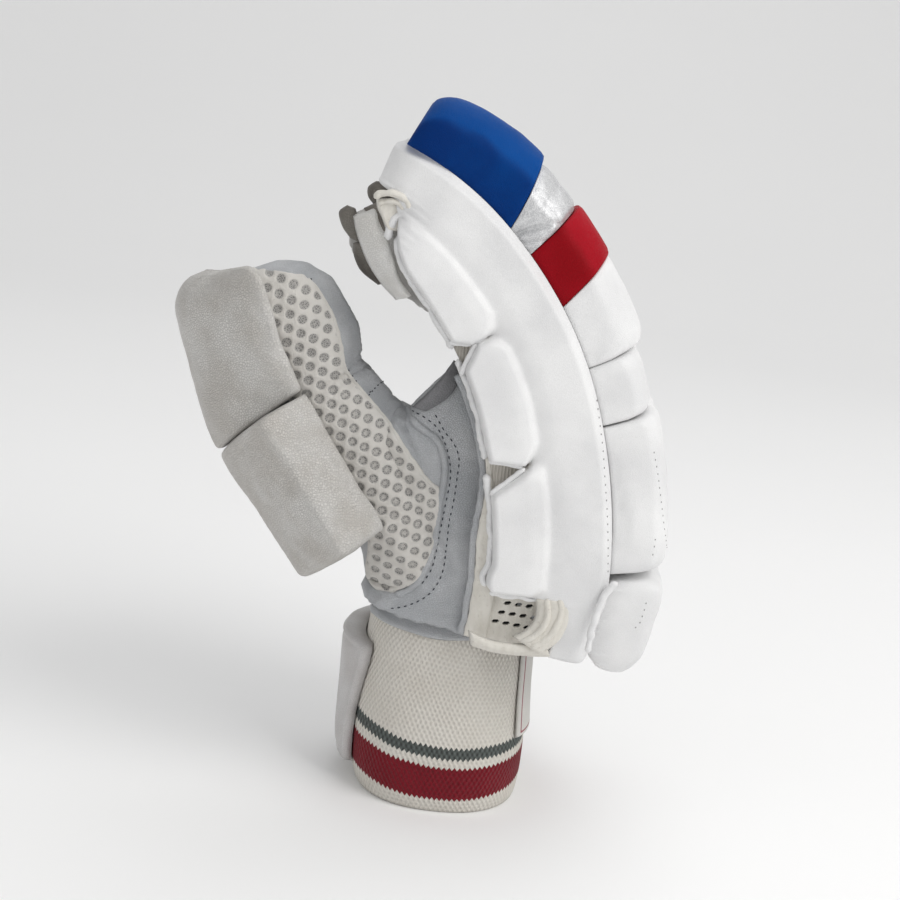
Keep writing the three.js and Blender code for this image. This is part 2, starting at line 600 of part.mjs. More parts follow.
// Blocks on the back of the hand: a short knuckle row and a long row.
// Columns: from and to are shares of the hand length.
const BACK_BLOCKS = [
  { name: 'back_block', from: 0.41, to: 0.943, slopeFrom: 3, slopeTo: 1.4, height: 0.92 },
  { name: 'knuckle_block', from: 0.943, to: 1.14, slopeFrom: 1.4, slopeTo: 1, height: 0.82 },
];
COLUMNS.forEach((column) => {
  const lo = column.lo + (column.digit === INDEX ? 0 : ROLL_GAP / 2);
  const hi = column.hi - (column.digit === LITTLE ? 0 : ROLL_GAP / 2);
  BACK_BLOCKS.forEach((row) => {
    const end = row.to > 1 ? HAND_BACK + 0.135 * FINGER_REACH * column.digit.reach : HAND_BACK * row.to;
    const geometry = block(column.digit, HAND_BACK * row.from + SEAM_GAP / 2, end - SEAM_GAP / 2,
      row.slopeFrom, row.slopeTo, ROLL_LO, ROLL_LO + ROLL_HEIGHT * row.height, lo, hi,
      ROLL_CHAMFER * column.chamfer * 0.6, CREASE_DEPTH);
    add(`${column.digit.name}_${row.name}`, geometry, 'white');
  });
});

// Wrist flare: one wide block below the back blocks, standing clear of the wrist.
// Columns: at is the share of the flare length from its wrist end, under and over stand off the bend line.
const FLARE_TOP = 42.4;
const FLARE_CORNER = 5;
const FLARE_SLOPE = 2.4;
const FLARE_ROWS = [
  { at: 0, under: 0.531, over: 0.814, across: 0.93 },
  { at: 0.06, under: 0.458, over: 0.887, across: 0.955 },
  { at: 0.2, under: 0.406, over: 0.934, across: 0.97 },
  { at: 0.5, under: 0.410, over: 0.962, across: 0.99 },
  { at: 0.85, under: 0.458, over: 1.000, across: 1 },
  { at: 0.96, under: 0.481, over: 0.943, across: 0.995 },
  { at: 1, under: 0.509, over: 0.849, across: 0.98 },
];
const FLARE_FROM = 0.05;
const FLARE_TO = 0.385;
const flareSections = [0, 0.06, 0.2, 0.5, 0.85, 0.96, 1].map((at) => {
  const s = HAND_BACK * (FLARE_FROM + (FLARE_TO - FLARE_FROM) * at);
  const width = read(FLARE_ROWS, 'across', at);
  const under = FLARE_TOP * read(FLARE_ROWS, 'under', at);
  const over = FLARE_TOP * read(FLARE_ROWS, 'over', at);
  const ring = roundedRing(under, over, -SIDE_REACH * width, (HAND_HALF + OUTER_SIDE_THICK) * width, FLARE_CORNER);
  return ring.map(([n, y]) => handPoint(INDEX, s + FLARE_SLOPE * ((2 * n) / FLARE_TOP - 1) * at, n, y));
});
add('wrist_flare', loft(flareSections), 'white');

// Index side panel: a long band along the finger, flat toward the palm and rounded toward the back.
// Columns: at is the share of the panel length, palm is the palm edge as a share of its named depth.
const SIDE_FROM = 0.05;
const SIDE_TO = HAND_BACK + FINGER_REACH * 0.985;
const SIDE_ROWS = [
  { at: 0, palm: -0.25, back: 0.66, bulge: 0.6 },
  { at: 0.02, palm: -0.2, back: 0.76, bulge: 0.85 },
  { at: 0.115, palm: -0.26, back: 0.8, bulge: 1 },
  { at: 0.135, palm: 1, back: 0.9, bulge: 1 },
  { at: 0.2, palm: 1.06, back: 1, bulge: 1 },
  { at: 0.5, palm: 1.04, back: 1, bulge: 1 },
  { at: 0.86, palm: 0.82, back: 1, bulge: 1 },
  { at: 0.93, palm: 0.62, back: 1, bulge: 0.95 },
  { at: 0.97, palm: 0.2, back: 0.98, bulge: 0.8 },
  { at: 1, palm: -0.1, back: 0.93, bulge: 0.5 },
];
const SIDE_BAND = 3.6;
const SIDE_SHARES = [0, 0.02, 0.065, 0.115, 0.135, 0.16];
for (let share = 0.2; share < 0.92; share += 0.045) SIDE_SHARES.push(share);
SIDE_SHARES.push(0.93, 0.97, 1);
const sideSections = SIDE_SHARES.map((share) => {
  const s = HAND_BACK * SIDE_FROM + (SIDE_TO - HAND_BACK * SIDE_FROM) * share;
  const lo = -SIDE_PALM_EDGE * read(SIDE_ROWS, 'palm', share);
  const hi = STALL_BACK * read(SIDE_ROWS, 'back', share);
  const base = HAND_HALF + SEAM_GAP;
  const flat = base + SIDE_THICK;
  const bulge = SIDE_BULGE * read(SIDE_ROWS, 'bulge', share);
  const band = Math.max(SIDE_BAND, lo + 1.4);
  const outer = [
    [lo, flat - 2], [lo + 0.8, flat - 0.3], [lo + 0.4 * (band - lo), flat], [band, flat], [band + 1.6, flat + bulge * 0.72],
    [band + 0.35 * (hi - band), flat + bulge], [band + 0.75 * (hi - band), flat + bulge * 0.74],
    [hi - 0.4, flat], [hi, flat - 2.5],
  ];
  const inner = outer.map(([n]) => [n, base]).reverse();
  return outer.concat(inner).map(([n, y]) => handPoint(INDEX, s, n, -y));
});
add('index_side_panel', loft(sideSections, 'line'), 'white');

// Three raised pads on the flat part of the panel, with cut corners and notches between them.
// Corner points: s as a share of the hand length, n as a share of the palm edge depth.
const SIDE_PADS = [
  { name: 'side_pad_tip', corners: [[1.985, -0.02], [1.43, -0.02], [1.395, 0.5], [1.43, 0.86], [1.56, 0.98],
    [1.72, 0.9], [1.86, 0.76], [1.945, 0.46], [1.985, 0.16]] },
  { name: 'side_pad_middle', corners: [[1.385, -0.02], [0.925, -0.02], [0.86, 0.34], [0.89, 0.93], [1, 1.1],
    [1.12, 1.1], [1.29, 1.03], [1.39, 0.62]] },
  { name: 'side_pad_wrist', corners: [[0.905, -0.02], [0.325, -0.02], [0.305, 0.4], [0.305, 1.05], [0.5, 1.12],
    [0.7, 1.08], [0.755, 0.98], [0.83, 0.5]] },
];
SIDE_PADS.forEach((pad) => {
  const base = HAND_HALF + SIDE_THICK + 2 * SEAM_GAP;
  const outline = pad.corners.flatMap(([s, n], i) => {
    const [s1, n1] = pad.corners[(i + 1) % pad.corners.length];
    const pieces = Math.ceil(0.5 + (Math.abs(s1 - s) * HAND_BACK) / 9);
    return Array.from({ length: pieces }, (_, k) => {
      const f = k / pieces;
      return [HAND_BACK * (s + (s1 - s) * f), -SIDE_PALM_EDGE * (n + (n1 - n) * f)];
    });
  });
  const mid = outline.reduce((sum, [s, n]) => [sum[0] + s, sum[1] + n], [0, 0]).map((v) => v / outline.length);
  const levels = [
    { y: 0, inset: 0, size: 0.5 }, { y: 0, inset: 0, size: 1 }, { y: 0.62, inset: 0.1, size: 1 },
    { y: 0.88, inset: 1.4, size: 1 }, { y: 1, inset: 4.5, size: 1 }, { y: 1.02, inset: 4.5, size: 0.5 },
  ];
  add(pad.name, loft(levels.map(({ y, inset, size }) => outline.map(([s, n]) => {
    const length = Math.hypot(s - mid[0], n - mid[1]);
    const f = (size * (length - inset)) / length;
    return handPoint(INDEX, mid[0] + (s - mid[0]) * f, mid[1] + (n - mid[1]) * f, -(base + SIDE_PAD_THICK * y));
  }))), 'white');
});

// Welt along the palm edge of the side panel.
const weltSections = Array.from({ length: 15 }, (_, k) => {
  const share = k / 14;
  const s = HAND_BACK * (0.05 + 1.24 * share);
  const edge = Math.sin(Math.PI * Math.min(1, Math.max(0, share)));
  const hi = -SIDE_PALM_EDGE * 1.06 - SEAM_GAP;
  const width = WELT_WIDTH * (0.55 + 0.45 * Math.pow(edge, 0.3));
  const ring = roundedRing(hi - width, hi, HAND_HALF + SEAM_GAP, HAND_HALF + SEAM_GAP + 4.2, 1.6, 2);
  return ring.map(([n, y]) => handPoint(INDEX, s, n, -y));
});
add('side_welt', loft(weltSections), 'cream');

// Perforated vent panel at the wrist end, with slots cut through, and the binding beside it.
const VENT_FROM = 0.06;
const VENT_TO = 0.27;
const VENT_THICK = 1.8;
const ventPlate = solid(loft([0, 0.33, 0.67, 1].map((share) => {
  const s = HAND_BACK * (VENT_FROM + (VENT_TO - VENT_FROM) * share);
  const ring = roundedRing(-SIDE_PALM_EDGE * 1.02, -2 + 1.2 * share, HAND_HALF + SEAM_GAP, HAND_HALF + SEAM_GAP + VENT_THICK, 0.4, 2);
  return ring.map(([n, y]) => handPoint(INDEX, s, n, -y));
})));
const VENT_SLOTS = [
  { row: 0.42, count: 4, from: -0.78, step: 0.2 },
  { row: 0.64, count: 4, from: -0.7, step: 0.2 },
  { row: 0.86, count: 4, from: -0.62, step: 0.2 },
];
const SLOT_HALF_LONG = 1.5;
const SLOT_HALF_WIDE = 0.95;
const slots = VENT_SLOTS.flatMap((line) => Array.from({ length: line.count }, (_, k) => {
  const s = HAND_BACK * (VENT_FROM + (VENT_TO - VENT_FROM) * line.row);
  const n = SIDE_PALM_EDGE * (line.from + line.step * k);
  const ring = ovalRing(SLOT_HALF_LONG, SLOT_HALF_WIDE, 6, 2);
  return solid(loft([-3, 6].map((y) => ring.map(([a, b]) => handPoint(INDEX, s + b + 0.25 * a, n + a, -(HAND_HALF + y))))));
}));
add('vent_panel', shape(slots.reduce((plate, slot) => plate.subtract(slot), ventPlate)), 'cream');

// Binding: a raised rim that curves round the vent from the pad down to the wrist edge.
const BINDING_ROWS = [
  { at: 0, s: 0.262, n: 0.14 },
  { at: 0.35, s: 0.21, n: 0.2 },
  { at: 0.65, s: 0.13, n: 0.18 },
  { at: 1, s: 0.055, n: 0.06 },
];
const BINDING_HALF = 1.15;
add('vent_binding', loft(Array.from({ length: 8 }, (_, k) => {
  const at = k / 7;
  const s = HAND_BACK * read(BINDING_ROWS, 's', at);
  const n = SIDE_PALM_EDGE * read(BINDING_ROWS, 'n', at) - 1;
  const ring = roundedRing(-BINDING_HALF, BINDING_HALF, HAND_HALF + SEAM_GAP, HAND_HALF + SEAM_GAP + 5, 0.9, 2);
  return ring.map(([a, y]) => handPoint(INDEX, s + a * 0.4, n + a, -y));
})), 'cream');

// Little finger side panel: a plain padded band on the far side.
const farSections = stations(HAND_BACK * 0.09, LITTLE.tip - 3, 14, 9).map(({ s, edge }) => {
  const cut = roundOff(edge) * 4;
  const base = HAND_HALF + SEAM_GAP;
  const rise = Math.min(1, s / (HAND_BACK * 0.45));
  const lo = -12 * rise + cut;
  const hi = STALL_BACK * (0.3 + 0.7 * Math.min(1, s / (HAND_BACK * 0.42))) - cut;
  const ring = roundedRing(lo, hi, base, base + OUTER_SIDE_THICK - cut * 0.4, 2.6);
  return ring.map(([n, y]) => handPoint(LITTLE, s, n, y));
});
add('little_side_panel', loft(farSections), 'white');

// The part stands on the floor, centred on its origin.
const bounds = new THREE.Box3().setFromObject(group);
const centre = bounds.getCenter(new THREE.Vector3());
group.children.forEach((mesh) => mesh.geometry.translate(-centre.x, -centre.y, -bounds.min.z));

export default group;
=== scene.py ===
import math
from functools import lru_cache

import bmesh
import bpy
import numpy as np
from mathutils import Matrix, Vector, noise
from mathutils.bvhtree import BVHTree
from mathutils.kdtree import KDTree


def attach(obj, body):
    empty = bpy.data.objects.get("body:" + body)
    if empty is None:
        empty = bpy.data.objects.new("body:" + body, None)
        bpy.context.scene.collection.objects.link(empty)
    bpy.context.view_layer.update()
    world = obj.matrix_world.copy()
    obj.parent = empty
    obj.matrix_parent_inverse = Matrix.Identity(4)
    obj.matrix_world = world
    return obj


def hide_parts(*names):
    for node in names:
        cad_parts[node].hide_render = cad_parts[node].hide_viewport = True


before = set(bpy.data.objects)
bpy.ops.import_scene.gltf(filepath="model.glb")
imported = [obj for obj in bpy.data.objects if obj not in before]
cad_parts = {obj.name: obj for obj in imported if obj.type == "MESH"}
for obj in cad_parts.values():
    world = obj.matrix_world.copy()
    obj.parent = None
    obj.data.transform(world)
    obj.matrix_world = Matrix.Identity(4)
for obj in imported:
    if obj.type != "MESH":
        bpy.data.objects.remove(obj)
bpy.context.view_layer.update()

# Camera
# It stands where the photographer stood, looks down a little and leans to one side,
# because the glove stands upright here and leans in the photograph. Lengths are in millimetres.
MM = 0.001
TO_ROW = Vector((11.964, 7.703, 0))
PHOTO = 900
FOCUS = 1995
EYE = Vector((0, -750, 290))
REACH = 0.71
LOOKS_DOWN = 90 - 78.1
LEAN = 6.5
camera_data = bpy.data.cameras.new("camera")
camera_data.sensor_width = 36
camera_data.lens = 36 * FOCUS / PHOTO
camera = bpy.data.objects.new("camera", camera_data)
bpy.context.scene.collection.objects.link(camera)
turn = Matrix.Rotation(math.radians(90 - LOOKS_DOWN), 4, "X") @ Matrix.Rotation(math.radians(LEAN), 4, "Z")
camera.matrix_world = Matrix.Translation((EYE + TO_ROW) * MM) @ turn
bpy.context.scene.camera = camera


def sight(x, y):
    """Direction from the camera through a point of the 900 by 900 frame."""
    ray = Vector((x - PHOTO / 2, PHOTO / 2 - y, -FOCUS))
    return (turn.to_3x3() @ ray).normalized()


def seen(tree, x, y):
    """Where that line of sight meets a surface, in millimetres of the glove's own axes, and its normal."""
    start = (EYE + TO_ROW) * MM
    spot, normal, _, _ = tree.ray_cast(start, sight(x, y))
    if spot is None:
        spot, normal, _, _ = tree.find_nearest(start + sight(x, y) * REACH)
    return spot / MM - TO_ROW, normal


def on_plane(x, y, depth):
    """Where that line of sight crosses the upright plane at that depth of the glove's own axes."""
    ray = sight(x, y)
    return EYE + ray * ((depth - EYE.y) / ray.y)


# Knitted cuff
# The real one is a tube of knitted polyester and elastic with a grey and a maroon stripe.
# It stands on its turned-in hem, and its top is tucked under the leather of the hand.
def read(rows, key, at):
    """A table's column at a share, running smoothly from row to row."""
    at = min(max(at, rows[0]["at"]), rows[-1]["at"])
    i = max(k for k, row in enumerate(rows[:-1]) if row["at"] <= at)
    low, high = rows[i], rows[i + 1]
    before, after = rows[max(i - 1, 0)], rows[min(i + 2, len(rows) - 1)]
    span = high["at"] - low["at"]
    f = (at - low["at"]) / span
    leave = (high[key] - before[key]) / (high["at"] - before["at"])
    reach = (after[key] - low[key]) / (after["at"] - low["at"])
    return (
        (2 * f**3 - 3 * f**2 + 1) * low[key]
        + (f**3 - 2 * f**2 + f) * span * leave
        + (3 * f**2 - 2 * f**3) * high[key]
        + (f**3 - f**2) * span * reach
    )


def ease(x):
    """From 0 to 1 with soft ends."""
    x = min(1, max(0, x))
    return x * x * (3 - 2 * x)


def lumps(point, size, seed=0):
    """Smooth unevenness from -1 to 1, with lumps of that size in millimetres."""
    return noise.noise(point / size + Vector((seed, 1.7 * seed, 0.3 * seed)))


def wrap(rings, around=0, along=None, marks=None):
    """A sheet wrapped round closed rings of points. Its UV map holds metres around and along."""
    columns, rows = len(rings[0]), len(rings) - 1
    mesh = bmesh.new()
    bmesh.ops.create_grid(mesh, x_segments=columns, y_segments=rows, size=1)
    weave = mesh.loops.layers.uv.new("weave")
    layers = {key: mesh.verts.layers.float.new(key) for key in marks or {}}
    cell = {v: (round((v.co.x + 1) / 2 * columns), round((v.co.y + 1) / 2 * rows)) for v in mesh.verts}
    for face in mesh.faces:
        face.smooth = True
        for loop in face.loops:
            i, j = cell[loop.vert]
            loop[weave].uv = (around * i / columns * MM, (along[j] if along else j) * MM)
    for v, (i, j) in cell.items():
        for key, layer in layers.items():
            v[layer] = marks[key][j][i % columns]
        v.co = (rings[j][i % columns] + TO_ROW) * MM
    bmesh.ops.remove_doubles(mesh, verts=mesh.verts, dist=2e-6)
    bmesh.ops.recalc_face_normals(mesh, faces=mesh.faces)
    return mesh


class Value:
    """A value in a material. Arithmetic on it adds the Math nodes."""

    def __init__(self, tree, socket):
        self.tree = tree
        self.socket = socket

    def maths(self, operation, *values):
        node = self.tree.nodes.new("ShaderNodeMath")
        node.operation = operation
        for slot, value in zip(node.inputs, values):
            if isinstance(value, Value):
                self.tree.links.new(value.socket, slot)
            else:
                slot.default_value = value
        return Value(self.tree, node.outputs[0])

    def __add__(self, other):
        return self.maths("ADD", self, other)

    def __sub__(self, other):
        return self.maths("SUBTRACT", self, other)

    def __rsub__(self, other):
        return self.maths("SUBTRACT", other, self)

    def __mul__(self, other):
        return self.maths("MULTIPLY", self, other)

    def __truediv__(self, other):
        return self.maths("DIVIDE", self, other)

    def __pow__(self, other):
        return self.maths("POWER", self, other)

    def __abs__(self):
        return self.maths("ABSOLUTE", self)

    __radd__ = __add__
    __rmul__ = __mul__

    def wave(self):
        return self.maths("COSINE", self * (2 * math.pi))

    def part(self):
        return self.maths("FRACT", self)


class Finish:
    """A procedural material of the glove. Constants go on the shader, and node() adds any node."""

    def __init__(self, name, **constants):
        self.material = bpy.data.materials.new(name)
        self.material.use_nodes = True
        self.tree = self.material.node_tree
        self.shader = self.tree.nodes["Principled BSDF"]
        for key, value in constants.items():
            self.shader.inputs[key.replace("_", " ").title().replace("Ior", "IOR")].default_value = value

    def node(self, kind, settings=None, sockets=None, output=0):
        """Adds a node: its type, its settings, then the values or links of its sockets."""
        made = self.tree.nodes.new(kind)
        for key, value in (settings or {}).items():
            setattr(made, key, value)
        for key, value in (sockets or {}).items():
            if isinstance(value, Value):
                self.tree.links.new(value.socket, made.inputs[key])
            else:
                made.inputs[key].default_value = value
        return Value(self.tree, made.outputs[output])

    def place(self):
        return self.node("ShaderNodeTexCoord", output="Object")

    def noise(self, size, detail=2, place=None):
        """Cloudy unevenness with spots of that size in millimetres."""
        sockets = {"Vector": place or self.place(), "Scale": 1 / (size * MM), "Detail": detail}
        return self.node("ShaderNodeTexNoise", None, sockets, "Fac")

    def cells(self, size, feature="DISTANCE_TO_EDGE"):
        """Pebbles of that size in millimetres, 0 at their edges."""
        sockets = {"Vector": self.place(), "Scale": 1 / (size * MM)}
        return self.node("ShaderNodeTexVoronoi", {"feature": feature}, sockets, "Distance")

    def stretched(self, x, y, z, turned=(0, 0, 0)):
        sockets = {"Vector": self.place(), "Scale": (x, y, z), "Rotation": turned}
        return self.node("ShaderNodeMapping", None, sockets)

    def step(self, value, low, high):
        sockets = {"Value": value, "From Min": low, "From Max": high}
        return self.node("ShaderNodeMapRange", {"interpolation_type": "SMOOTHSTEP"}, sockets)

    def mix(self, share, first, second):
        sockets = {"Factor": share, 6: first, 7: second}
        return self.node("ShaderNodeMix", {"data_type": "RGBA"}, sockets, 2)

    def mark(self, name):
        return self.node("ShaderNodeAttribute", {"attribute_name": name}, None, "Fac")

    def show(self, colour, roughness, relief, depth):
        """Colour, roughness and a relief that is that many millimetres deep."""
        self.tree.links.new(colour.socket, self.shader.inputs["Base Color"])
        self.tree.links.new(roughness.socket, self.shader.inputs["Roughness"])
        bump = self.node("ShaderNodeBump", None, {"Height": relief, "Distance": depth * MM})
        self.tree.links.new(bump.socket, self.shader.inputs["Normal"])
        return self.material


def piece(name, mesh, material, nodes=(), slot=None):
    """The finished object. It rides on the glove and stands for its nodes."""
    data = bpy.data.meshes.new(name)
    mesh.to_mesh(data)
    mesh.free()
    data.materials.append(material)
    obj = bpy.data.objects.new(name, data)
    bpy.context.scene.collection.objects.link(obj)
    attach(obj, "root")
    if nodes:
        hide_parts(*nodes)
    return obj


CUFF = {"axis": 7, "height": 82, "half_x": 35, "half_y": 41, "wall": 3, "square": 2.3, "girth": 242}
CUFF["tilt"] = math.radians(-9.5)
CUFF_ROWS = [
    {"at": 0, "shift": 1.6, "x": 0.9, "y": 0.93},
    {"at": 0.05, "shift": 1.2, "x": 0.935, "y": 0.97},
    {"at": 0.14, "shift": 0.6, "x": 0.972, "y": 0.985},
    {"at": 0.3, "shift": 0.4, "x": 0.975, "y": 0.985},
    {"at": 0.55, "shift": 0.6, "x": 0.93, "y": 0.955},
    {"at": 0.82, "shift": 1.2, "x": 0.885, "y": 0.93},
    {"at": 0.9, "shift": 1.8, "x": 0.82, "y": 0.88},
    {"at": 1, "shift": 2.6, "x": 0.74, "y": 0.84},
]


def cuff_point(share, degrees, off):
    """A point at that share of the cuff's height and that angle round it, standing off its surface."""
    c, q = math.cos(math.radians(degrees)), math.sin(math.radians(degrees))
    bulge = (abs(c) ** CUFF["square"] + abs(q) ** CUFF["square"]) ** (-1 / CUFF["square"])
    a = (CUFF["half_x"] * read(CUFF_ROWS, "x", share) + off) * c * bulge
    b = (CUFF["half_y"] * read(CUFF_ROWS, "y", share) + off) * q * bulge
    tilt = CUFF["tilt"] * min(1, share)
    x = CUFF["axis"] + read(CUFF_ROWS, "shift", share)
    return Vector((x + a * math.cos(tilt), b, CUFF["height"] * share + a * math.sin(tilt)))


def cuff_ring(share, off, uneven):
    ring = [cuff_point(share, 360 * k / 150, off) for k in range(150)]
    middle = sum(ring, Vector()) / len(ring)
    return [p + (p - middle).normalized() * uneven * lumps(p, 17, 2) for p in ring]


cuff_hem = [(0.004, -1.6), (0.0, -0.7), (0.006, -0.12)]
cuff_outside = [(0.018 + 0.982 * k / 52, 0) for k in range(53)]
cuff_inside = [(0.02 + 0.98 * k / 24, -CUFF["wall"]) for k in range(24, -1, -1)] + [(0.006, -2.7)]
cuff_section = cuff_hem + cuff_outside + cuff_inside + cuff_hem[:1]
cuff_rings = [cuff_ring(share, off, 0.45 * ease(share * 12)) for share, off in cuff_section]
cuff_along = [share * CUFF["height"] for share, _ in cuff_section]

knit = Finish("knit", sheen_weight=0.06, sheen_roughness=0.6, specular_ior_level=0.2)
weave = knit.node("ShaderNodeUVMap", {"uv_map": "weave"})
threads = knit.node("ShaderNodeSeparateXYZ", None, {"Vector": weave}, "X")
lift = knit.node("ShaderNodeSeparateXYZ", None, {"Vector": weave}, "Y")
STITCH = {"wide": 2.2 * MM, "tall": 3.4 * MM}
stitch_u = threads / STITCH["wide"] + knit.noise(11) * 0.5
stitch_v = lift / STITCH["tall"] + knit.noise(13) * 0.35
loops = stitch_u.wave() * stitch_v.wave() * 0.5 + 0.5
zigzag = abs((threads / STITCH["wide"]).part() - 0.5) * 2.6 * MM
bow = ((threads / (CUFF["girth"] / 2 * MM)).wave() + 1) * 2.0 * MM
height = lift + zigzag + knit.noise(9) * 0.9 * MM - 1.1 * MM - bow
shade = knit.noise(14, 3)
wool = knit.mix(shade, (0.66, 0.62, 0.555, 1), (0.77, 0.745, 0.69, 1))
maroon = knit.mix(shade, (0.13, 0.002, 0.008, 1), (0.23, 0.005, 0.016, 1))
slate = knit.mix(loops * 0.6 + knit.noise(1.2) * 0.4, (0.02, 0.026, 0.025, 1), (0.15, 0.17, 0.16, 1))


def stripe(low, high, soft=0.16):
    """1 where the knit has a stripe, which runs from low to high millimetres above the hem."""
    above = knit.step(height, (low - soft) * MM, (low + soft) * MM)
    past = knit.step(height, (high - soft) * MM, (high + soft) * MM)
    return above * (1 - past)


coloured = knit.mix(stripe(22.2, 26.6), knit.mix(stripe(5.7, 18.5), wool, maroon), slate)
# Painted shade: the dips between the knitted loops are darkened toward a dark brown.
crevice_shade = knit.mix((1 - loops) ** 2 * 0.19, coloured, (0.05, 0.035, 0.03, 1))
fuzz = knit.noise(0.35, 2)
knit_material = knit.show(crevice_shade, 0.78 + fuzz * 0.2, loops * 0.8 + fuzz * 0.35, 0.85)
piece("cuff_knit_tube", wrap(cuff_rings, CUFF["girth"], cuff_along), knit_material, ["cuff"], "cuff_knit")


# Closure strap
# The real one is a padded tab of soft synthetic leather that closes the cuff on the palm side.
# Its free end stands off the knit, its edges are turned over and a row of stitches runs inside them.
def slab(place, across, along, thick, border, marks=None):
    """A closed pad with rounded edges. place(u, v, h) is the point h millimetres above its underside."""
    over = [(i / across, 1) for i in range(across + 1)]
    under = [(i / across, 0) for i in range(across, -1, -1)]
    rings, found = [], {key: [] for key in marks or {}}
    for j in range(along + 1):
        v = j / along
        ring, values = [], {key: [] for key in marks or {}}
        for u, top in over + under:
            rise_u, rise_v = (math.sqrt(max(0, 1 - (1 - min(1, edge)) ** 2)) for edge in border(u, v))
            height = thick(u, v) if callable(thick) else thick
            ring.append(place(u, v, height * rise_u * rise_v * top))
            for key in values:
                values[key].append(marks[key](u, v) if top else 0)
        rings.append(ring)
        for key in found:
            found[key].append(values[key])
    return wrap(rings, 1, None, found)


def edges(width, length, soft):
    """How far a place of a pad is from its sides and ends, in shares of its soft edge."""
    return lambda u, v: (min(u, 1 - u) * width / soft, min(v, 1 - v) * length / soft)


def leather(name, colour, shade, grain=0.8, depth=0.12, rough=0.5, pore_shade=0.25, **constants):
    """Grained leather: pebbles of that size, soft cloudy colour, painted shade in the gaps between the
    pebbles and a few fine creases.
    """
    finish = Finish(name, **constants)
    cloud = finish.step(finish.noise(16, 3), 0.32, 0.7)
    pebbles = finish.step(finish.cells(grain), 0.0, 0.16)
    fine = finish.noise(grain * 0.35, 3)
    folds = finish.noise(grain * 5.5, 4, finish.stretched(1, 1.4, 0.75, (0.3, 0.6, 0.2)))
    tone = finish.mix(cloud, colour + (1,), shade + (1,))
    # Painted shade: the gaps between the pebbles are darkened toward a darker copy of the second colour.
    shaded_pores = finish.mix((1 - pebbles) * pore_shade, tone, tuple(0.45 * c for c in shade) + (1,))
    relief = pebbles * 0.55 + fine * 0.25 + folds * 0.9
    return finish.show(shaded_pores, rough - 0.07 + fine * 0.14, relief, depth)


STRAP = {"long": 62, "tall": 48, "thick": 3.4, "seam": 3.4, "from_hem": 7}
STRAP_ROWS = [
    {"at": 0, "fill": 1.8, "from": 120, "to": 202},
    {"at": 0.05, "fill": 2.0, "from": 116, "to": 205},
    {"at": 0.5, "fill": 3.1, "from": 114, "to": 207},
    {"at": 0.95, "fill": 5.6, "from": 116, "to": 213},
    {"at": 1, "fill": 6.2, "from": 120, "to": 211},
]


def strap_place(u, v, h):
    angle = read(STRAP_ROWS, "from", v) * (1 - u) + read(STRAP_ROWS, "to", v) * u
    share = (STRAP["from_hem"] + STRAP["tall"] * v) / CUFF["height"]
    p = cuff_point(share, angle, 0.7 + h)
    return p + Vector((0, 0, 1)) * 0.5 * lumps(p, 9, 5)


def strap_thick(u, v):
    """Fuller where the tab stands off the cuff, with a shallow groove where it is sewn."""
    x, y = u * STRAP["long"], v * STRAP["tall"]
    stitched = min(x, STRAP["long"] - x, y, STRAP["tall"] - y)
    full = read(STRAP_ROWS, "fill", v) * (1 - 0.85 * ease((u - 0.68) / 0.32))
    groove = 0.7 * math.exp(-((stitched - STRAP["seam"]) / 0.9) ** 2)
    return full + STRAP["thick"] - groove + 0.35 * lumps(Vector((x, y, 0)), 11, 8)


tab_leather = leather("tab_leather", (0.60, 0.59, 0.585), (0.52, 0.50, 0.49), 0.7, 0.1, 0.55)
strap_mesh = slab(strap_place, 60, 48, strap_thick, edges(STRAP["long"], STRAP["tall"], 2.2))
piece("closure_strap_tab", strap_mesh, tab_leather, ["closure_strap"], "strap_leather")


# Wrist label
# The real one is a woven patch sewn to the back of the cuff.
# It is left bare, with the thin maroon line of its border.
LABEL = {"wide": 44, "tall": 41, "low": 0.36, "high": 0.82, "reach": 34, "thick": 1.2}


def label_place(u, v, h):
    share = LABEL["low"] + (LABEL["high"] - LABEL["low"]) * v
    return cuff_point(share, LABEL["reach"] * (2 * u - 1), 0.85 + h)


def label_rim(u, v):
    """Distance from the edge of the label, for the line of its border."""
    return min(min(u, 1 - u) * LABEL["wide"], min(v, 1 - v) * LABEL["tall"])


patch = Finish("label_weave", sheen_weight=0.15)
rim = patch.mark("rim")
line = patch.step(rim, 1.9, 2.1) * (1 - patch.step(rim, 2.75, 2.95))
weft_sockets = {"Vector": patch.place(), "Scale": 620.0}
weft = patch.node("ShaderNodeTexWave", {"bands_direction": "Z"}, weft_sockets, "Fac")
cloth = patch.mix(weft * 0.5 + patch.noise(2) * 0.5, (0.62, 0.60, 0.56, 1), (0.76, 0.745, 0.71, 1))
lined = patch.mix(line * 0.92, cloth, (0.27, 0.012, 0.035, 1))
label_material = patch.show(lined, 0.62 + weft * 0.15, weft + line * 0.4, 0.12)
label_edges = edges(LABEL["wide"], LABEL["tall"], 0.9)
label_mesh = slab(label_place, 60, 50, LABEL["thick"], label_edges, {"rim": label_rim})
piece("wrist_label_patch", label_mesh, label_material, ["wrist_label"], "label_fabric")


# Hand and thumb leather
# The real palm, thumb and the web between them are thin soft leather, sewn from a few panels.
# It is one hollow skin here, with its folds pressed in and its seams laid on it.
def follow(x, z, heading, arcs, s):
    """Runs along arcs of (length, bend) for s millimetres and gives the place and the heading there."""
    for i, (length, bend) in enumerate(arcs):
        last = i == len(arcs) - 1
        if s <= 0 and i:
            break
        run = s if last or s < length else length
        curve = math.radians(bend) / length
        ahead = heading + curve * run
        if abs(curve) > 1e-9:
            x += (math.cos(ahead) - math.cos(heading)) / curve
            z += (math.sin(ahead) - math.sin(heading)) / curve
        else:
            x -= math.sin(heading) * run
            z += math.cos(heading) * run
        heading = ahead
        s -= run
    return x, z, heading


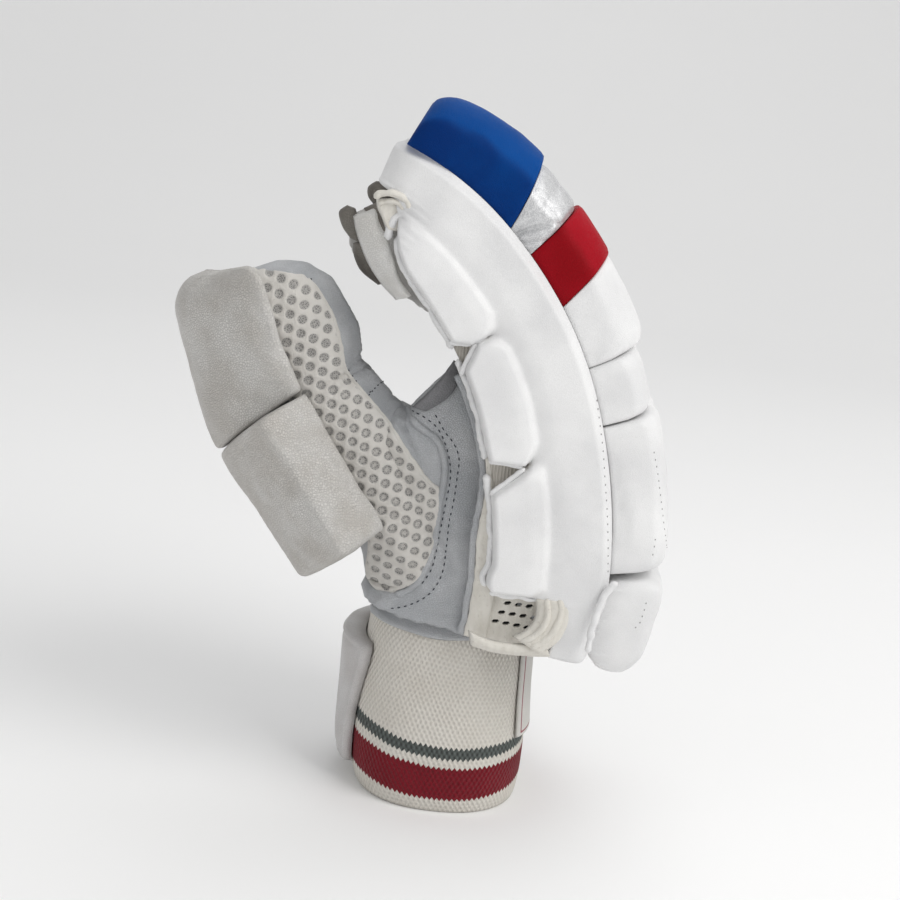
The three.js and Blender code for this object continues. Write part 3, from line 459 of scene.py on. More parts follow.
THUMB = {"length": 130, "half": 18, "root_x": -3.8, "root_y": -29, "root_z": 90, "bend": -13}
THUMB["straight"] = 0.56
THUMB["heading"] = math.radians(35.5)
THUMB["roll"] = math.radians(33)


@lru_cache(maxsize=None)
def thumb_line(t):
    straight = THUMB["straight"]
    arcs = [(straight * THUMB["length"], 0), ((1 - straight) * THUMB["length"], THUMB["bend"])]
    return follow(THUMB["root_x"], THUMB["root_z"], THUMB["heading"], arcs, t)


def thumb_point(t, d, e):
    """A point t along the thumb, d toward its back and e toward the index side."""
    x, z, a = thumb_line(round(t, 3))
    away, front = Vector((-math.cos(a), 0, -math.sin(a))), Vector((0, -1, 0))
    back = away * math.cos(THUMB["roll"]) + front * math.sin(THUMB["roll"])
    side = -away * math.sin(THUMB["roll"]) + front * math.cos(THUMB["roll"])
    return Vector((x, THUMB["root_y"] - 0.07 * t, z)) + back * d + side * e


def joined(names):
    """The CAD nodes copied into one mesh, with their loose triangles merged."""
    mesh = bmesh.new()
    for name in names:
        mesh.from_mesh(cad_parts[name].data)
    bmesh.ops.remove_doubles(mesh, verts=mesh.verts, dist=2e-6)
    return mesh


def remeshed(name, mesh, voxel):
    """One even skin over a mesh, by voxel remesh."""
    data = bpy.data.meshes.new(name)
    mesh.to_mesh(data)
    mesh.free()
    obj = bpy.data.objects.new(name, data)
    bpy.context.scene.collection.objects.link(obj)
    change = obj.modifiers.new("even", "REMESH")
    change.mode = "VOXEL"
    change.voxel_size = voxel * MM
    bpy.context.view_layer.update()
    ready = obj.evaluated_get(bpy.context.evaluated_depsgraph_get())
    made = bmesh.new()
    made.from_mesh(ready.to_mesh())
    bpy.data.objects.remove(obj)
    return made


def relaxed(mesh, rounds):
    """Smooths out facets and keeps the volume, by moves to and from the mean of the neighbours."""
    mesh.verts.index_update()
    points = np.array([v.co for v in mesh.verts])
    pairs = np.array([[e.verts[0].index, e.verts[1].index] for e in mesh.edges])
    ends = np.concatenate([pairs[:, 0], pairs[:, 1]])
    others = np.concatenate([pairs[:, 1], pairs[:, 0]])
    count = np.bincount(ends, minlength=len(points))[:, None]
    for _ in range(rounds):
        for share in (0.6, -0.62):
            sums = [np.bincount(ends, points[others, k], len(points)) for k in range(3)]
            mean = np.stack(sums, 1) / count
            points = points + share * (mean - points)
    for v, p in zip(mesh.verts, points):
        v.co = p
    for face in mesh.faces:
        face.smooth = True
    return mesh


def pressed(mesh, depth):
    """Moves each point along its normal by depth(point, normal), in millimetres of the glove's own axes."""
    mesh.normal_update()
    moves = [(v, v.normal * depth(v.co / MM - TO_ROW, v.normal) * MM) for v in mesh.verts]
    for v, move in moves:
        v.co += move
    return mesh


THUMB_FOLDS = [
    {"at": 0.64, "deep": 2.6, "wide": 3.0},
    {"at": 0.46, "deep": -3.6, "wide": 15},
    {"at": 0.5, "deep": 1.1, "wide": 2.0},
    {"at": 0.74, "deep": -1.4, "wide": 6},
    {"at": 0.14, "deep": 1.4, "wide": 3.4},
]
HEEL = {"x": 381, "y": 580, "high": 5.5, "wide": 12}
thumb_axis = np.array([thumb_point(t, 0, 0) for t in range(0, THUMB["length"] + 1, 2)])


def thumb_folds(point, normal):
    """Folds across the palm side of the thumb, and soft unevenness all over."""
    gaps = np.linalg.norm(thumb_axis - np.array(point), axis=1)
    t = 2 * int(gaps.argmin())
    fold = 0
    if gaps.min() < 26:
        x, z, a = thumb_line(float(t))
        inner = max(0, (point.x - x) * math.cos(a) + (point.z - z) * math.sin(a)) / THUMB["half"]
        for row in THUMB_FOLDS:
            off = t - row["at"] * THUMB["length"] + 2 * lumps(point, 9, 3)
            fold -= min(1, inner) * row["deep"] * math.exp(-(off / row["wide"]) ** 2)
    heel = HEEL["high"] * math.exp(-((point - thumb_heel).length / HEEL["wide"]) ** 2)
    return fold + heel + 0.4 * lumps(point, 11, 4) + 0.22 * lumps(point, 4, 6)


skin = relaxed(remeshed("hand_skin", joined(["palm_shell", "thumb_leather", "thumb_mesh"]), 1.25), 26)
thumb_heel = seen(BVHTree.FromBMesh(skin), HEEL["x"], HEEL["y"])[0]
skin = pressed(skin, thumb_folds)
skin_tree = BVHTree.FromBMesh(skin)
palm_leather = leather("palm_leather", (0.42, 0.435, 0.455), (0.54, 0.55, 0.565), 0.75, 0.30, 0.56)
piece("hand_leather", skin, palm_leather, ["palm_shell", "thumb_leather"], "palm_leather")


# Mesh gusset
# The real one is a strip of spacer mesh sewn between the guard pads and the leather of the thumb.
# Rows run from the thumb tip to the wrist; left and right are its edges in the photograph's frame.
GUSSET_ROWS = [
    {"at": 0.00, "left_x": 252, "left_y": 268, "right_x": 303, "right_y": 275},
    {"at": 0.08, "left_x": 258, "left_y": 286, "right_x": 318, "right_y": 291},
    {"at": 0.18, "left_x": 262, "left_y": 314, "right_x": 333, "right_y": 318},
    {"at": 0.27, "left_x": 270, "left_y": 346, "right_x": 341, "right_y": 348},
    {"at": 0.35, "left_x": 279, "left_y": 380, "right_x": 346, "right_y": 371},
    {"at": 0.43, "left_x": 293, "left_y": 407, "right_x": 366, "right_y": 396},
    {"at": 0.52, "left_x": 309, "left_y": 436, "right_x": 386, "right_y": 420},
    {"at": 0.61, "left_x": 328, "left_y": 464, "right_x": 405, "right_y": 449},
    {"at": 0.70, "left_x": 349, "left_y": 498, "right_x": 426, "right_y": 479},
    {"at": 0.78, "left_x": 366, "left_y": 523, "right_x": 440, "right_y": 494},
    {"at": 0.86, "left_x": 368, "left_y": 548, "right_x": 437, "right_y": 530},
    {"at": 0.93, "left_x": 366, "left_y": 568, "right_x": 428, "right_y": 561},
    {"at": 0.97, "left_x": 369, "left_y": 582, "right_x": 416, "right_y": 581},
    {"at": 1.00, "left_x": 376, "left_y": 590, "right_x": 393, "right_y": 593},
]
GUSSET = {"wide": 28, "long": 130, "thick": 1.15, "soft": 1.2}
DIMPLE = {"across": 4.4, "down": 5.0, "lean": 1.45, "radius": 1.45, "deep": 0.75, "squeezed_below": 112}


@lru_cache(maxsize=None)
def gusset_spot(u, v):
    x = read(GUSSET_ROWS, "left_x", v) * (1 - u) + read(GUSSET_ROWS, "right_x", v) * u
    y = read(GUSSET_ROWS, "left_y", v) * (1 - u) + read(GUSSET_ROWS, "right_y", v) * u
    return seen(skin_tree, x, y)


def gusset_place(u, v, h):
    spot, normal = gusset_spot(u, v)
    return spot + normal * (h - 0.12 - DIMPLE["deep"] * gusset_hole(u, v) * (h > 0.3))


def gusset_hole(u, v):
    """How far into a dimple of the mesh a place is, from 0 to 1."""
    spot, _ = gusset_spot(u, v)
    i = spot.x / DIMPLE["across"]
    j = (spot.z + DIMPLE["lean"] * i) / DIMPLE["down"]
    squeezed = 1 + 0.3 * ease((DIMPLE["squeezed_below"] - spot.z) / 14)
    best = 9
    for a in (math.floor(i), math.floor(i) + 1):
        for b in (math.floor(j), math.floor(j) + 1):
            dx = (i - a) * DIMPLE["across"]
            dz = (j - b) * DIMPLE["down"] - DIMPLE["lean"] * (i - a)
            best = min(best, math.hypot(dx, dz * squeezed))
    faint = (0.72 + 0.28 * ease(v * 2.2)) * ease(min(u, 1 - u) * GUSSET["wide"] / 2.2)
    return ease(1.55 - best / DIMPLE["radius"]) * faint


spacer = Finish("spacer_mesh", sheen_weight=0.2)
hole = spacer.mark("hole")
yarn = spacer.noise(0.5, 3)
ground = spacer.mix(spacer.noise(6, 2), (0.60, 0.575, 0.535, 1), (0.72, 0.70, 0.665, 1))
crossing = spacer.step(spacer.cells(0.75), 0.03, 0.2)
# Painted shade: the walls of each dimple are painted dark, a little less at its floor.
dimple_shade = spacer.step(hole, 0.12, 0.55) * (1 - spacer.step(hole, 0.93, 1.0) * 0.45)
mesh_with_dimple_shade = spacer.mix(dimple_shade * (0.45 + 0.5 * crossing), ground, (0.20, 0.195, 0.19, 1))
spacer_material = spacer.show(mesh_with_dimple_shade, 0.8 + yarn * 0.15, yarn * 0.8 + crossing * 0.5, 0.3)
gusset_edges = edges(GUSSET["wide"], GUSSET["long"], GUSSET["soft"])
gusset_mesh = slab(gusset_place, 84, 240, GUSSET["thick"], gusset_edges, {"hole": gusset_hole})
piece("thumb_mesh_gusset", gusset_mesh, spacer_material, ["thumb_mesh"], "mesh_fabric")


def capped(rings):
    """Closes both ends of a row of rings with two smaller rings and a point."""
    def shrunk(ring, share):
        middle = sum(ring, Vector()) / len(ring)
        return [middle + (p - middle) * share for p in ring]
    first = [shrunk(rings[0], share) for share in (0, 0.45, 0.8)]
    last = [shrunk(rings[-1], share) for share in (0.8, 0.45, 0)]
    return first + rings + last


def tube(points, radius, flat=1.0, uneven=0.12, sides=14, step=0.9):
    """A soft round strip along a smooth line through points."""
    rows = [{"at": i, "x": p.x, "y": p.y, "z": p.z} for i, p in enumerate(points)]
    length = sum((b - a).length for a, b in zip(points, points[1:]))
    count = max(6, int(length / step))
    stops = [(len(points) - 1) * k / count for k in range(count + 1)]
    line = [Vector([read(rows, key, stop) for key in "xyz"]) for stop in stops]
    angles = [2 * math.pi * i / sides for i in range(sides)]
    rings = []
    for k, p in enumerate(line):
        along = (line[min(k + 1, count)] - line[max(k - 1, 0)]).normalized()
        out = Vector((0, -1, 0))
        across = along.cross(out).normalized()
        out = across.cross(along).normalized()
        ends = math.sqrt(max(0.05, 1 - (1 - min(1, min(k, count - k) * step / radius)) ** 2))
        ring = []
        for a in angles:
            dent = 1 + 1.6 * uneven * lumps(p + across * math.cos(a), 2.2, 3)
            ring.append(p + (across * math.cos(a) + out * math.sin(a) * flat) * radius * ends * dent)
        rings.append(ring)
    return wrap(capped(rings))


gusset_seam = [gusset_place(1, 0.02 + 0.96 * k / 30, 0.25) for k in range(31)]
piece("thumb_mesh_edge", tube(gusset_seam, 0.75, 0.8, 0.25), spacer_material, (), "mesh_fabric")


# Thumb guard pads
# The real ones are two foam blocks in warm grey leather on the back of the thumb, with a crease between.
# Each has a flat side by the mesh, a soft ridge and fine wrinkles across its back.
def softened(points, rounds=3):
    """A closed outline with its corners cut again and again until it is round."""
    for _ in range(rounds):
        shifted = points[1:] + points[:1]
        points = [
            (a[0] * (1 - f) + b[0] * f, a[1] * (1 - f) + b[1] * f)
            for a, b in zip(points, shifted) for f in (0.25, 0.75)
        ]
    return points


def spaced(points, count):
    """The same outline with evenly spaced points."""
    closed = points + points[:1]
    lengths = [0]
    for a, b in zip(closed, closed[1:]):
        lengths.append(lengths[-1] + math.hypot(b[0] - a[0], b[1] - a[1]))
    out, i = [], 0
    for k in range(count):
        want = lengths[-1] * k / count
        while lengths[i + 1] < want:
            i += 1
        f = (want - lengths[i]) / max(1e-9, lengths[i + 1] - lengths[i])
        (x0, y0), (x1, y1) = closed[i], closed[i + 1]
        out.append((x0 + f * (x1 - x0), y0 + f * (y1 - y0)))
    return out


def stations(start, end, fine, coarse):
    """Distances along a pad, closer together near its ends."""
    rim = [fine * k for k in range(8)]
    middle = end - start - 16 * fine
    inner = max(2, round(middle / coarse))
    body = [start + 8 * fine + middle * k / inner for k in range(inner + 1)]
    return [start + r for r in rim] + body + [end - r for r in reversed(rim)]


def puffed(mesh, cap):
    """Lets a pad swell under its cover, as cloth under pressure, by at most that many millimetres."""
    coarse = remeshed("cover", mesh.copy(), 3)
    data = bpy.data.meshes.new("cover")
    coarse.to_mesh(data)
    coarse.free()
    obj = bpy.data.objects.new("cover", data)
    bpy.context.scene.collection.objects.link(obj)
    cloth = obj.modifiers.new("cover", "CLOTH")
    cloth.settings.use_pressure = True
    cloth.settings.uniform_pressure_force = 4
    cloth.settings.effector_weights.gravity = 0
    for step in range(1, 21):
        bpy.context.scene.frame_set(step)
    ready = obj.evaluated_get(bpy.context.evaluated_depsgraph_get())
    start = np.array([v.co for v in data.vertices])
    moves = np.array([v.co for v in ready.data.vertices]) - start
    size = np.linalg.norm(moves, axis=1, keepdims=True)
    moves *= np.minimum(1, cap * MM / np.maximum(size, 1e-9))
    near = KDTree(len(start))
    for k, spot in enumerate(start):
        near.insert(spot, k)
    near.balance()
    for v in mesh.verts:
        ways = [(k, 1 / (gap + 0.3 * MM) ** 2) for _, k, gap in near.find_n(v.co, 6)]
        total = sum(weight for _, weight in ways)
        v.co += sum((Vector(moves[k]) * (weight / total) for k, weight in ways), Vector())
    bpy.context.scene.frame_set(1)
    bpy.data.objects.remove(obj)
    return mesh


def rounded(distance, radius):
    """How far a rounded end has drawn in at that distance from it."""
    x = min(1, max(0, distance / radius))
    return 1 - math.sqrt(max(0, 1 - (1 - x) ** 2))


THUMB_PADS = [
    {"name": "thumb_base_pad", "from": 0.185, "to": 0.625, "thick": 1.2, "low": 1.12, "near": 0.95,
     "far": 0.93, "tip": 3.0, "ridge": None, "swell": 0.8, "lean": 0.17, "far_lean": 0.17},
    {"name": "thumb_tip_pad", "from": 0.631, "to": 1.03, "thick": 1, "low": 1.08, "near": 0.9,
     "far": 1.12, "tip": 9, "ridge": -7, "swell": 5.2, "lean": 0.17, "far_lean": 0},
]
PAD = {"seat": 13.2, "thick": 18, "half": 25, "widest": 0.58}
pad_leather = leather("pad_leather", (0.54, 0.515, 0.48), (0.65, 0.635, 0.61), 0.9, 0.38, 0.5)


def pad_outline(row, t):
    """The section of a pad t millimetres along the thumb, its lean and its distance from the nearer end."""
    start, end = row["from"] * THUMB["length"], row["to"] * THUMB["length"]
    at_tip = row["ridge"] is not None
    past_middle = t > (start + end) / 2
    near = min(t - start, end - t)
    at_crease = past_middle != at_tip
    radius = 12 if past_middle and at_tip else 2.2 if at_crease else 3.4
    cut = rounded(near, radius) * (1.7 if at_crease else row["tip"])
    share = t / THUMB["length"]
    wide = math.exp(-((share - PAD["widest"]) / 0.22) ** 2)
    lo = PAD["seat"]
    hi = lo + PAD["thick"] * (row["thick"] - 0.14 * max(0, share - 0.7) / 0.3) - cut + row["swell"] * wide
    low = -PAD["half"] * row["low"] + cut - 3.6 * wide
    along = (t - start) / (end - start)
    high = PAD["half"] * (row["near"] + (row["far"] - row["near"]) * along) - cut
    if at_tip:
        ridge = row["ridge"]
        upper = [(lo + 4, high), (hi - 4.2, ridge + 9), (hi - 1.0, ridge + 1), (hi + 0.3, ridge - 3.5)]
        upper.append((hi + 0.2, low + 8))
    else:
        upper = [(hi - 4.4, high), (hi - 1.3, high - 0.6), (hi - 0.3, high - 3.2), (hi + 0.6, high - 10)]
        upper += [(hi + 1.4, 0), (hi + 0.6, low + 8)]
    under = [(lo, low + 2), (lo, high - 2), (lo + 1.2, high)]
    outline = under + upper + [(hi - 1.6, low + 2.6), (hi - 7, low), (lo + 1.2, low)]
    lean = row["lean"] + (row["far_lean"] - row["lean"]) * along
    return outline, lean, near


for row in THUMB_PADS:
    rings = []
    for t in stations(row["from"] * THUMB["length"], row["to"] * THUMB["length"], 0.5, 1.3):
        outline, lean, near = pad_outline(row, t)
        ring = [thumb_point(t + lean * e, d, e) for d, e in spaced(softened(outline), 112)]
        middle = sum(ring, Vector()) / len(ring)
        swell = 0.5 * ease(near / 8)
        rings.append([])
        for p in ring:
            wrinkle = 0.35 * lumps(p, 12, 7) + 0.16 * lumps(Vector((p.x, p.y * 0.4, p.z)), 3.2, 9)
            rings[-1].append(p + (p - middle).normalized() * (swell + wrinkle))
    pad = puffed(wrap(capped(rings)), 1.5)
    piece(row["name"] + "_cover", pad, pad_leather, [row["name"]], "thumb_pad_leather")


# Finger stalls
# The real ones are tubes of soft leather on the palm side of each finger, gathered at the tips.
# The stall of the index finger shows past its side panel, and the other tips show behind it.
HAND = {"reach": 94, "root_x": 38.3, "root_z": 64.6, "heading": math.radians(-9.5), "narrow": 0.19}
HAND_ARCS = [(share * HAND["reach"], bend) for share, bend in ((0.319, 10), (0.234, 6), (0.447, 12))]
DIGITS = {
    "index": {"y": -39, "reach": 98, "roll_end": 1.015,
            "bones": (0.388, 0.255, 0.357), "bends": (18, 10, 22)},
    "middle": {"y": -13, "reach": 99.96, "roll_end": 0.84,
             "bones": (0.385, 0.27, 0.345), "bends": (25, 21, 31)},
    "ring": {"y": 13, "reach": 98, "roll_end": 0.83,
           "bones": (0.384, 0.263, 0.353), "bends": (27, 23, 32)},
    "little": {"y": 39, "reach": 85.26, "roll_end": 0.84,
             "bones": (0.381, 0.238, 0.381), "bends": (29, 23, 30)},
}


@lru_cache(maxsize=None)
def hand_line(digit, s):
    row = DIGITS[digit]
    arcs = HAND_ARCS + [(share * row["reach"], bend) for share, bend in zip(row["bones"], row["bends"])]
    return follow(HAND["root_x"], HAND["root_z"], HAND["heading"], arcs, s)


def hand_point(digit, s, n, y):
    """A point s along the hand, n toward its back and y across it."""
    x, z, a = hand_line(digit, round(s, 3))
    narrow = 1 - HAND["narrow"] * max(0, 1 - s / HAND["reach"]) ** 2
    return Vector((x + n * math.cos(a), y * narrow, z + n * math.sin(a)))


stall_leather = leather("stall_leather", (0.47, 0.455, 0.43), (0.62, 0.61, 0.59), 0.8, 0.22, 0.58)
for digit, row in DIGITS.items():
    tip = hand_point(digit, HAND["reach"] + row["reach"] - 6, 0, row["y"])
    line = np.array([hand_line(digit, HAND["reach"] + row["reach"] * k / 40)[:2] for k in range(41)])

    def gathers(point, normal):
        near = ease(1 - (point - tip).length / 34)
        pleat = math.sin(1.9 * point.y + 0.7 * point.x + 3 * lumps(point, 8, 5))
        return -0.25 + near * (0.55 * pleat + 0.9 * lumps(point, 5, 3)) + 0.35 * lumps(point, 9, 8)

    stall = relaxed(remeshed("stall", joined([f"{digit}_stall"]), 1.25), 22)
    for v in stall.verts:
        p = v.co / MM - TO_ROW
        k = int(((line[:, 0] - p.x) ** 2 + (line[:, 1] - p.z) ** 2).argmin())
        x, z, heading = hand_line(digit, HAND["reach"] + row["reach"] * k / 40)
        n = (p.x - x) * math.cos(heading) + (p.z - z) * math.sin(heading)
        if n < 0 or digit != "index":
            n *= -0.58 * ease((k / 40 - 0.7) / 0.3)
            v.co += Vector((n * math.cos(heading), 0, n * math.sin(heading))) * MM
    stall = pressed(stall, gathers)
    piece(f"{digit}_stall_leather", stall, stall_leather, [f"{digit}_stall"], "palm_leather")


# Index side panel
# The real one is one white skin over a long foam band and three raised pads with cut corners.
# Corner points of the pads are s along the hand and n toward the back, in millimetres.
SIDE_ROWS = [
    {"at": 0, "palm": -0.25, "back": 0.78},
    {"at": 0.02, "palm": -0.2, "back": 0.86},
    {"at": 0.113, "palm": -0.26, "back": 0.96},
    {"at": 0.128, "palm": 1, "back": 0.98},
    {"at": 0.2, "palm": 1.06, "back": 1},
    {"at": 0.5, "palm": 1.04, "back": 1},
    {"at": 0.86, "palm": 0.82, "back": 1},
    {"at": 0.93, "palm": 0.56, "back": 1},
    {"at": 0.97, "palm": 0.12, "back": 1},
    {"at": 1, "palm": -0.2, "back": 1},
]
SIDE = {"start": 4.7, "end": 190.5, "base": 51.5, "flat": 4.9, "band": 6.6, "pad": 8.2}
SIDE.update(palm=20, back=21.8)
SIDE_TIP = {"bend": 182, "pivot": 46.5, "wrapped": 222, "turn": 13.6}
SIDE_PADS = [
    [(187.2, 1.4), (182, 5.6), (160, 5.2), (134, 4.6), (130.8, -3),
     (130.6, -12.3), (135.6, -18.3), (147.2, -20.2), (174, -16.1), (183.2, -9.2)],
    [(130.4, -10.4), (129.4, -2), (125.5, 2.4), (104.4, 2.4), (86.2, 0.6),
     (79.6, -7.6), (83.2, -19.7), (103.5, -22.9), (121.3, -21.2)],
    [(78.4, -6.4), (84.2, 1.2), (71, 3.4), (53.3, 3.6), (28.4, 2.7),
     (28.2, -22), (50, -22.6), (69.8, -21.2)],
]


def inside(corners, s, n):
    """Distance inside an outline, negative outside it."""
    best, within = 1e9, False
    for (s0, n0), (s1, n1) in zip(corners, corners[1:] + corners[:1]):
        length = (s1 - s0) ** 2 + (n1 - n0) ** 2
        f = min(1, max(0, ((s - s0) * (s1 - s0) + (n - n0) * (n1 - n0)) / length))
        best = min(best, math.hypot(s - s0 - f * (s1 - s0), n - n0 - f * (n1 - n0)))
        if (n0 > n) != (n1 > n) and s < s0 + (n - n0) / (n1 - n0) * (s1 - s0):
            within = not within
    return best if within else -best


def palm_edge(s):
    """How far the palm edge of the panel lies from its middle line, as a share of the usual distance."""
    return read(SIDE_ROWS, "palm", (s - SIDE["start"]) / (SIDE["end"] - SIDE["start"]))


def side_spot(u, v):
    """The place s along the hand and n toward the back, and the n of the panel's back edge there."""
    s = SIDE["start"] + (SIDE_TIP["wrapped"] - SIDE["start"]) * v
    share = (s - SIDE["start"]) / (SIDE["end"] - SIDE["start"])
    lo, hi = -SIDE["palm"] * palm_edge(s), SIDE["back"] * read(SIDE_ROWS, "back", share)
    return s, lo + (hi - lo) * u, hi


@lru_cache(maxsize=None)
def side_height(u, v):
    """Thickness of the side panel: a flat ground, the band along the back and the three pads."""
    s, n, hi = side_spot(u, v)
    x = min(1, max(0, (n + 7) / (hi + 7)))
    free = ease((30 - s) / 10)
    seam = (1 - free) * 2.3 * (1 - ease((hi - n) / 3.4)) + free * SIDE["band"] * rounded(hi - n, 7)
    band = max(0, SIDE["band"] * math.sin(math.pi / 2 * min(1, x / 0.5)) ** 0.72 - seam)
    soft = 2.6 + 8.5 * ease((n + 7) / 9)
    tall = SIDE["pad"] - 1.3 * ease((n + 8) / 10)
    pads = 0
    for corners in SIDE_PADS:
        d = min(1, max(0, (inside(corners, s, n) + 0.35) / soft))
        pads = max(pads, tall * (1 - (1 - d) ** 2.4) ** (0.6 + 0.5 * ease((n + 6) / 8)))
    both = max(band, pads) + 0.6 * math.exp(-abs(band - pads) / 1.6) * min(1, band, pads)
    p = Vector((s, n, 0))
    tip = ease((s - 172) / 14)
    both -= 2.0 * tip - 0.45 * tip * math.sin(2.3 * n) * ease((9 - n) / 6)
    return SIDE["flat"] + both + 0.35 * lumps(p, 19, 3) + 0.14 * lumps(p, 6, 5)


def side_place(u, v, h):
    """The panel runs straight along the finger and is then drawn round its tip."""
    s, n, _ = side_spot(u, v)
    bend, pivot, length = SIDE_TIP["bend"], SIDE_TIP["pivot"], SIDE_TIP["turn"]
    radius = SIDE["base"] + h - pivot
    turned = min(math.pi / 2, max(0, s - bend) / length)
    past = max(0, s - bend - length * math.pi / 2)
    reach = min(s, bend) + radius * math.sin(turned)
    return hand_point("index", reach, n, past - pivot - radius * math.cos(turned))


def side_ground(u, v):
    """Where the woven ground shows in the notches between the pads."""
    s, n, _ = side_spot(u, v)
    out = -max(inside(corners, s, n) for corners in SIDE_PADS)
    return ease((out - 0.1) / 0.5) * ease((-4.5 - n) / 2) * ease((s - 30) / 2) * ease((150 - s) / 4)


white = Finish("white_leather", coat_weight=0.06, coat_roughness=0.35)
ground_share = white.mark("ground")
pebbles = white.step(white.cells(0.62), 0.0, 0.15)
cloud = white.step(white.noise(22, 3), 0.3, 0.72)
fine = white.noise(0.4, 3)
folds = white.noise(5.5, 4)
calf = white.mix(cloud, (0.74, 0.74, 0.745, 1), (0.84, 0.84, 0.84, 1))
# Painted shade: the gaps between the pebbles are darkened toward grey.
calf = white.mix((1 - pebbles) * 0.1, calf, (0.42, 0.42, 0.41, 1))
canvas_sockets = {"Vector": white.place(), "Scale": 260.0}
threads = white.node("ShaderNodeTexWave", {"bands_direction": "X"}, canvas_sockets, "Fac")
canvas = white.mix(threads * 0.6 + fine * 0.4, (0.40, 0.375, 0.33, 1), (0.60, 0.57, 0.52, 1))
calf = white.mix(ground_share, calf, canvas)
calf_rough = 0.40 + fine * 0.12 + ground_share * 0.35
calf_relief = pebbles * 0.4 + fine * 0.3 + folds * 0.8 + threads * ground_share * 3
white_leather = white.show(calf, calf_rough, calf_relief, 0.10)


def side_edges(u, v):
    """The side toward the back stays thick, because the rolls are sewn to it."""
    return (u * 41 / 2.6 if u < 0.5 else 9), min(v, 1 - v) * 217 / 2.6


side_mesh = slab(side_place, 66, 270, side_height, side_edges, {"ground": side_ground})
side_tree = BVHTree.FromBMesh(side_mesh)
side_nodes = ["index_side_panel", "side_pad_tip", "side_pad_middle", "side_pad_wrist"]
piece("index_side_skin", side_mesh, white_leather, side_nodes, "white_leather")


# Piping and hems of the side panel
# The real ones are narrow folded strips of white leather along the notches, the lower hem and the vent.
# They are tubes laid on the panel, a little uneven as sewn leather is.
PIPING = [
    [(136.6, -19), (133.5, -15.3), (131, -11.8)],
    [(130.8, -10.4), (127.6, -14.8), (121.8, -21)],
    [(83.6, -20), (81.8, -14), (79.5, -8.4)],
    [(79, -7.6), (75.5, -13), (70, -21)],
]
for k, line in enumerate(PIPING):
    points = [hand_point("index", s, n, -(SIDE["base"] + 8.6)) for s, n in line]
    piece(f"side_piping_{k + 1}", tube(points, 1.0), white_leather, (), "cream_trim")
EDGE_PIPING = [(133, 181), (84, 128), (30, 78)]
for k, (first, last) in enumerate(EDGE_PIPING):
    points = []
    for j in range(16):
        s = first + (last - first) * j / 15
        n = 0.4 - 20.6 * palm_edge(s) + 0.25 * math.sin(j * 1.3)
        points.append(hand_point("index", s, n, -(SIDE["base"] + 5.4 + 0.35 * math.sin(j * 1.7 + k))))
    piece(f"side_edge_piping_{k + 1}", tube(points, 1.25, 1.4, 0.22), white_leather, (), "white_leather")
hem_points = []
for k in range(15):
    s, n = 27.4 + 0.3 * math.sin(k * 1.3), -20.6 + 24.4 * k / 14
    hem_points.append(hand_point("index", s, n, -(SIDE["base"] + 6.4 + 0.3 * math.sin(k * 1.7))))
piece("side_pad_hem", tube(hem_points, 1.35, 0.9, 0.15), white_leather, (), "white_leather")


# Palm edge welt
# The real one is a gathered strip of cream tape sewn between the palm leather and the side panel.
# A narrow fold of the grey leather shows beside it.
trim = Finish("cream_tape", sheen_weight=0.2)
tape_noise = trim.noise(1.1, 3)
gather = trim.noise(3.2, 3, trim.stretched(1, 1, 0.25))
tape = trim.mix(gather, (0.56, 0.53, 0.47, 1), (0.76, 0.74, 0.69, 1))
tape = trim.mix(trim.step(tape_noise, 0.62, 0.75) * 0.35, tape, (0.34, 0.31, 0.26, 1))
cream_tape = trim.show(tape, 0.72 + tape_noise * 0.15, gather * 1.2 + tape_noise * 0.5, 0.5)


def welt_ring(share, inner, outer, depth, seed):
    """One section of a strip along the palm edge, which is narrower past the wrist pad."""
    s = HAND["reach"] * (0.05 + 1.24 * share)
    narrow = 5.5 * ease((share - 0.34) / 0.34)
    inner += narrow
    outer += narrow * (outer < -25)
    ring = []
    for k in range(28):
        a = 2 * math.pi * k / 28
        c, q = math.cos(a), math.sin(a)
        n = (inner + outer) / 2 + (outer - inner) / 2 * math.copysign(abs(c) ** 0.6, c)
        y = SIDE["base"] + 0.1 + depth / 2 + depth / 2 * math.copysign(abs(q) ** 0.6, q)
        p = hand_point("index", s, n, -y)
        pull = 0.5 * lumps(Vector((s, n * 0.4, q)), 3.1, seed) + 0.35 * lumps(Vector((s, n, q)), 8, seed)
        ring.append(p + Vector((0, -pull, 0)) + Vector((pull * 0.6, 0, 0)))
    return ring


welt_rings = [welt_ring(k / 110, -26.8, -18.6, 4.2, 3) for k in range(111)]
piece("side_welt_tape", wrap(capped(welt_rings)), cream_tape, ["side_welt"], "cream_trim")
fold_rings = [welt_ring(k / 110, -29.2, -26.6, 3.0, 8) for k in range(111)]
piece("palm_fold", wrap(capped(fold_rings)), palm_leather, (), "palm_leather")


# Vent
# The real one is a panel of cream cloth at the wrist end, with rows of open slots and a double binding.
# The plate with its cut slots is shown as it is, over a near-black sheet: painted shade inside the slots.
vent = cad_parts["vent_panel"]
vent.data.materials.clear()
vent.data.materials.append(cream_tape)
dark = Finish("vent_slot_shade_cloth")
# Painted shade: a near-black sheet under the plate stands for the shade seen through the open slots.
slot_shade = dark.mix(dark.noise(0.8), (0.008, 0.008, 0.009, 1), (0.03, 0.03, 0.032, 1))
slot_shade_material = dark.show(slot_shade, 0.85 + dark.noise(2) * 0.1, dark.noise(0.6), 0.2)
SLOT_SHADE = {"start": 7.5, "tall": 16, "palm": -18, "wide": 14, "seat": 51.02}


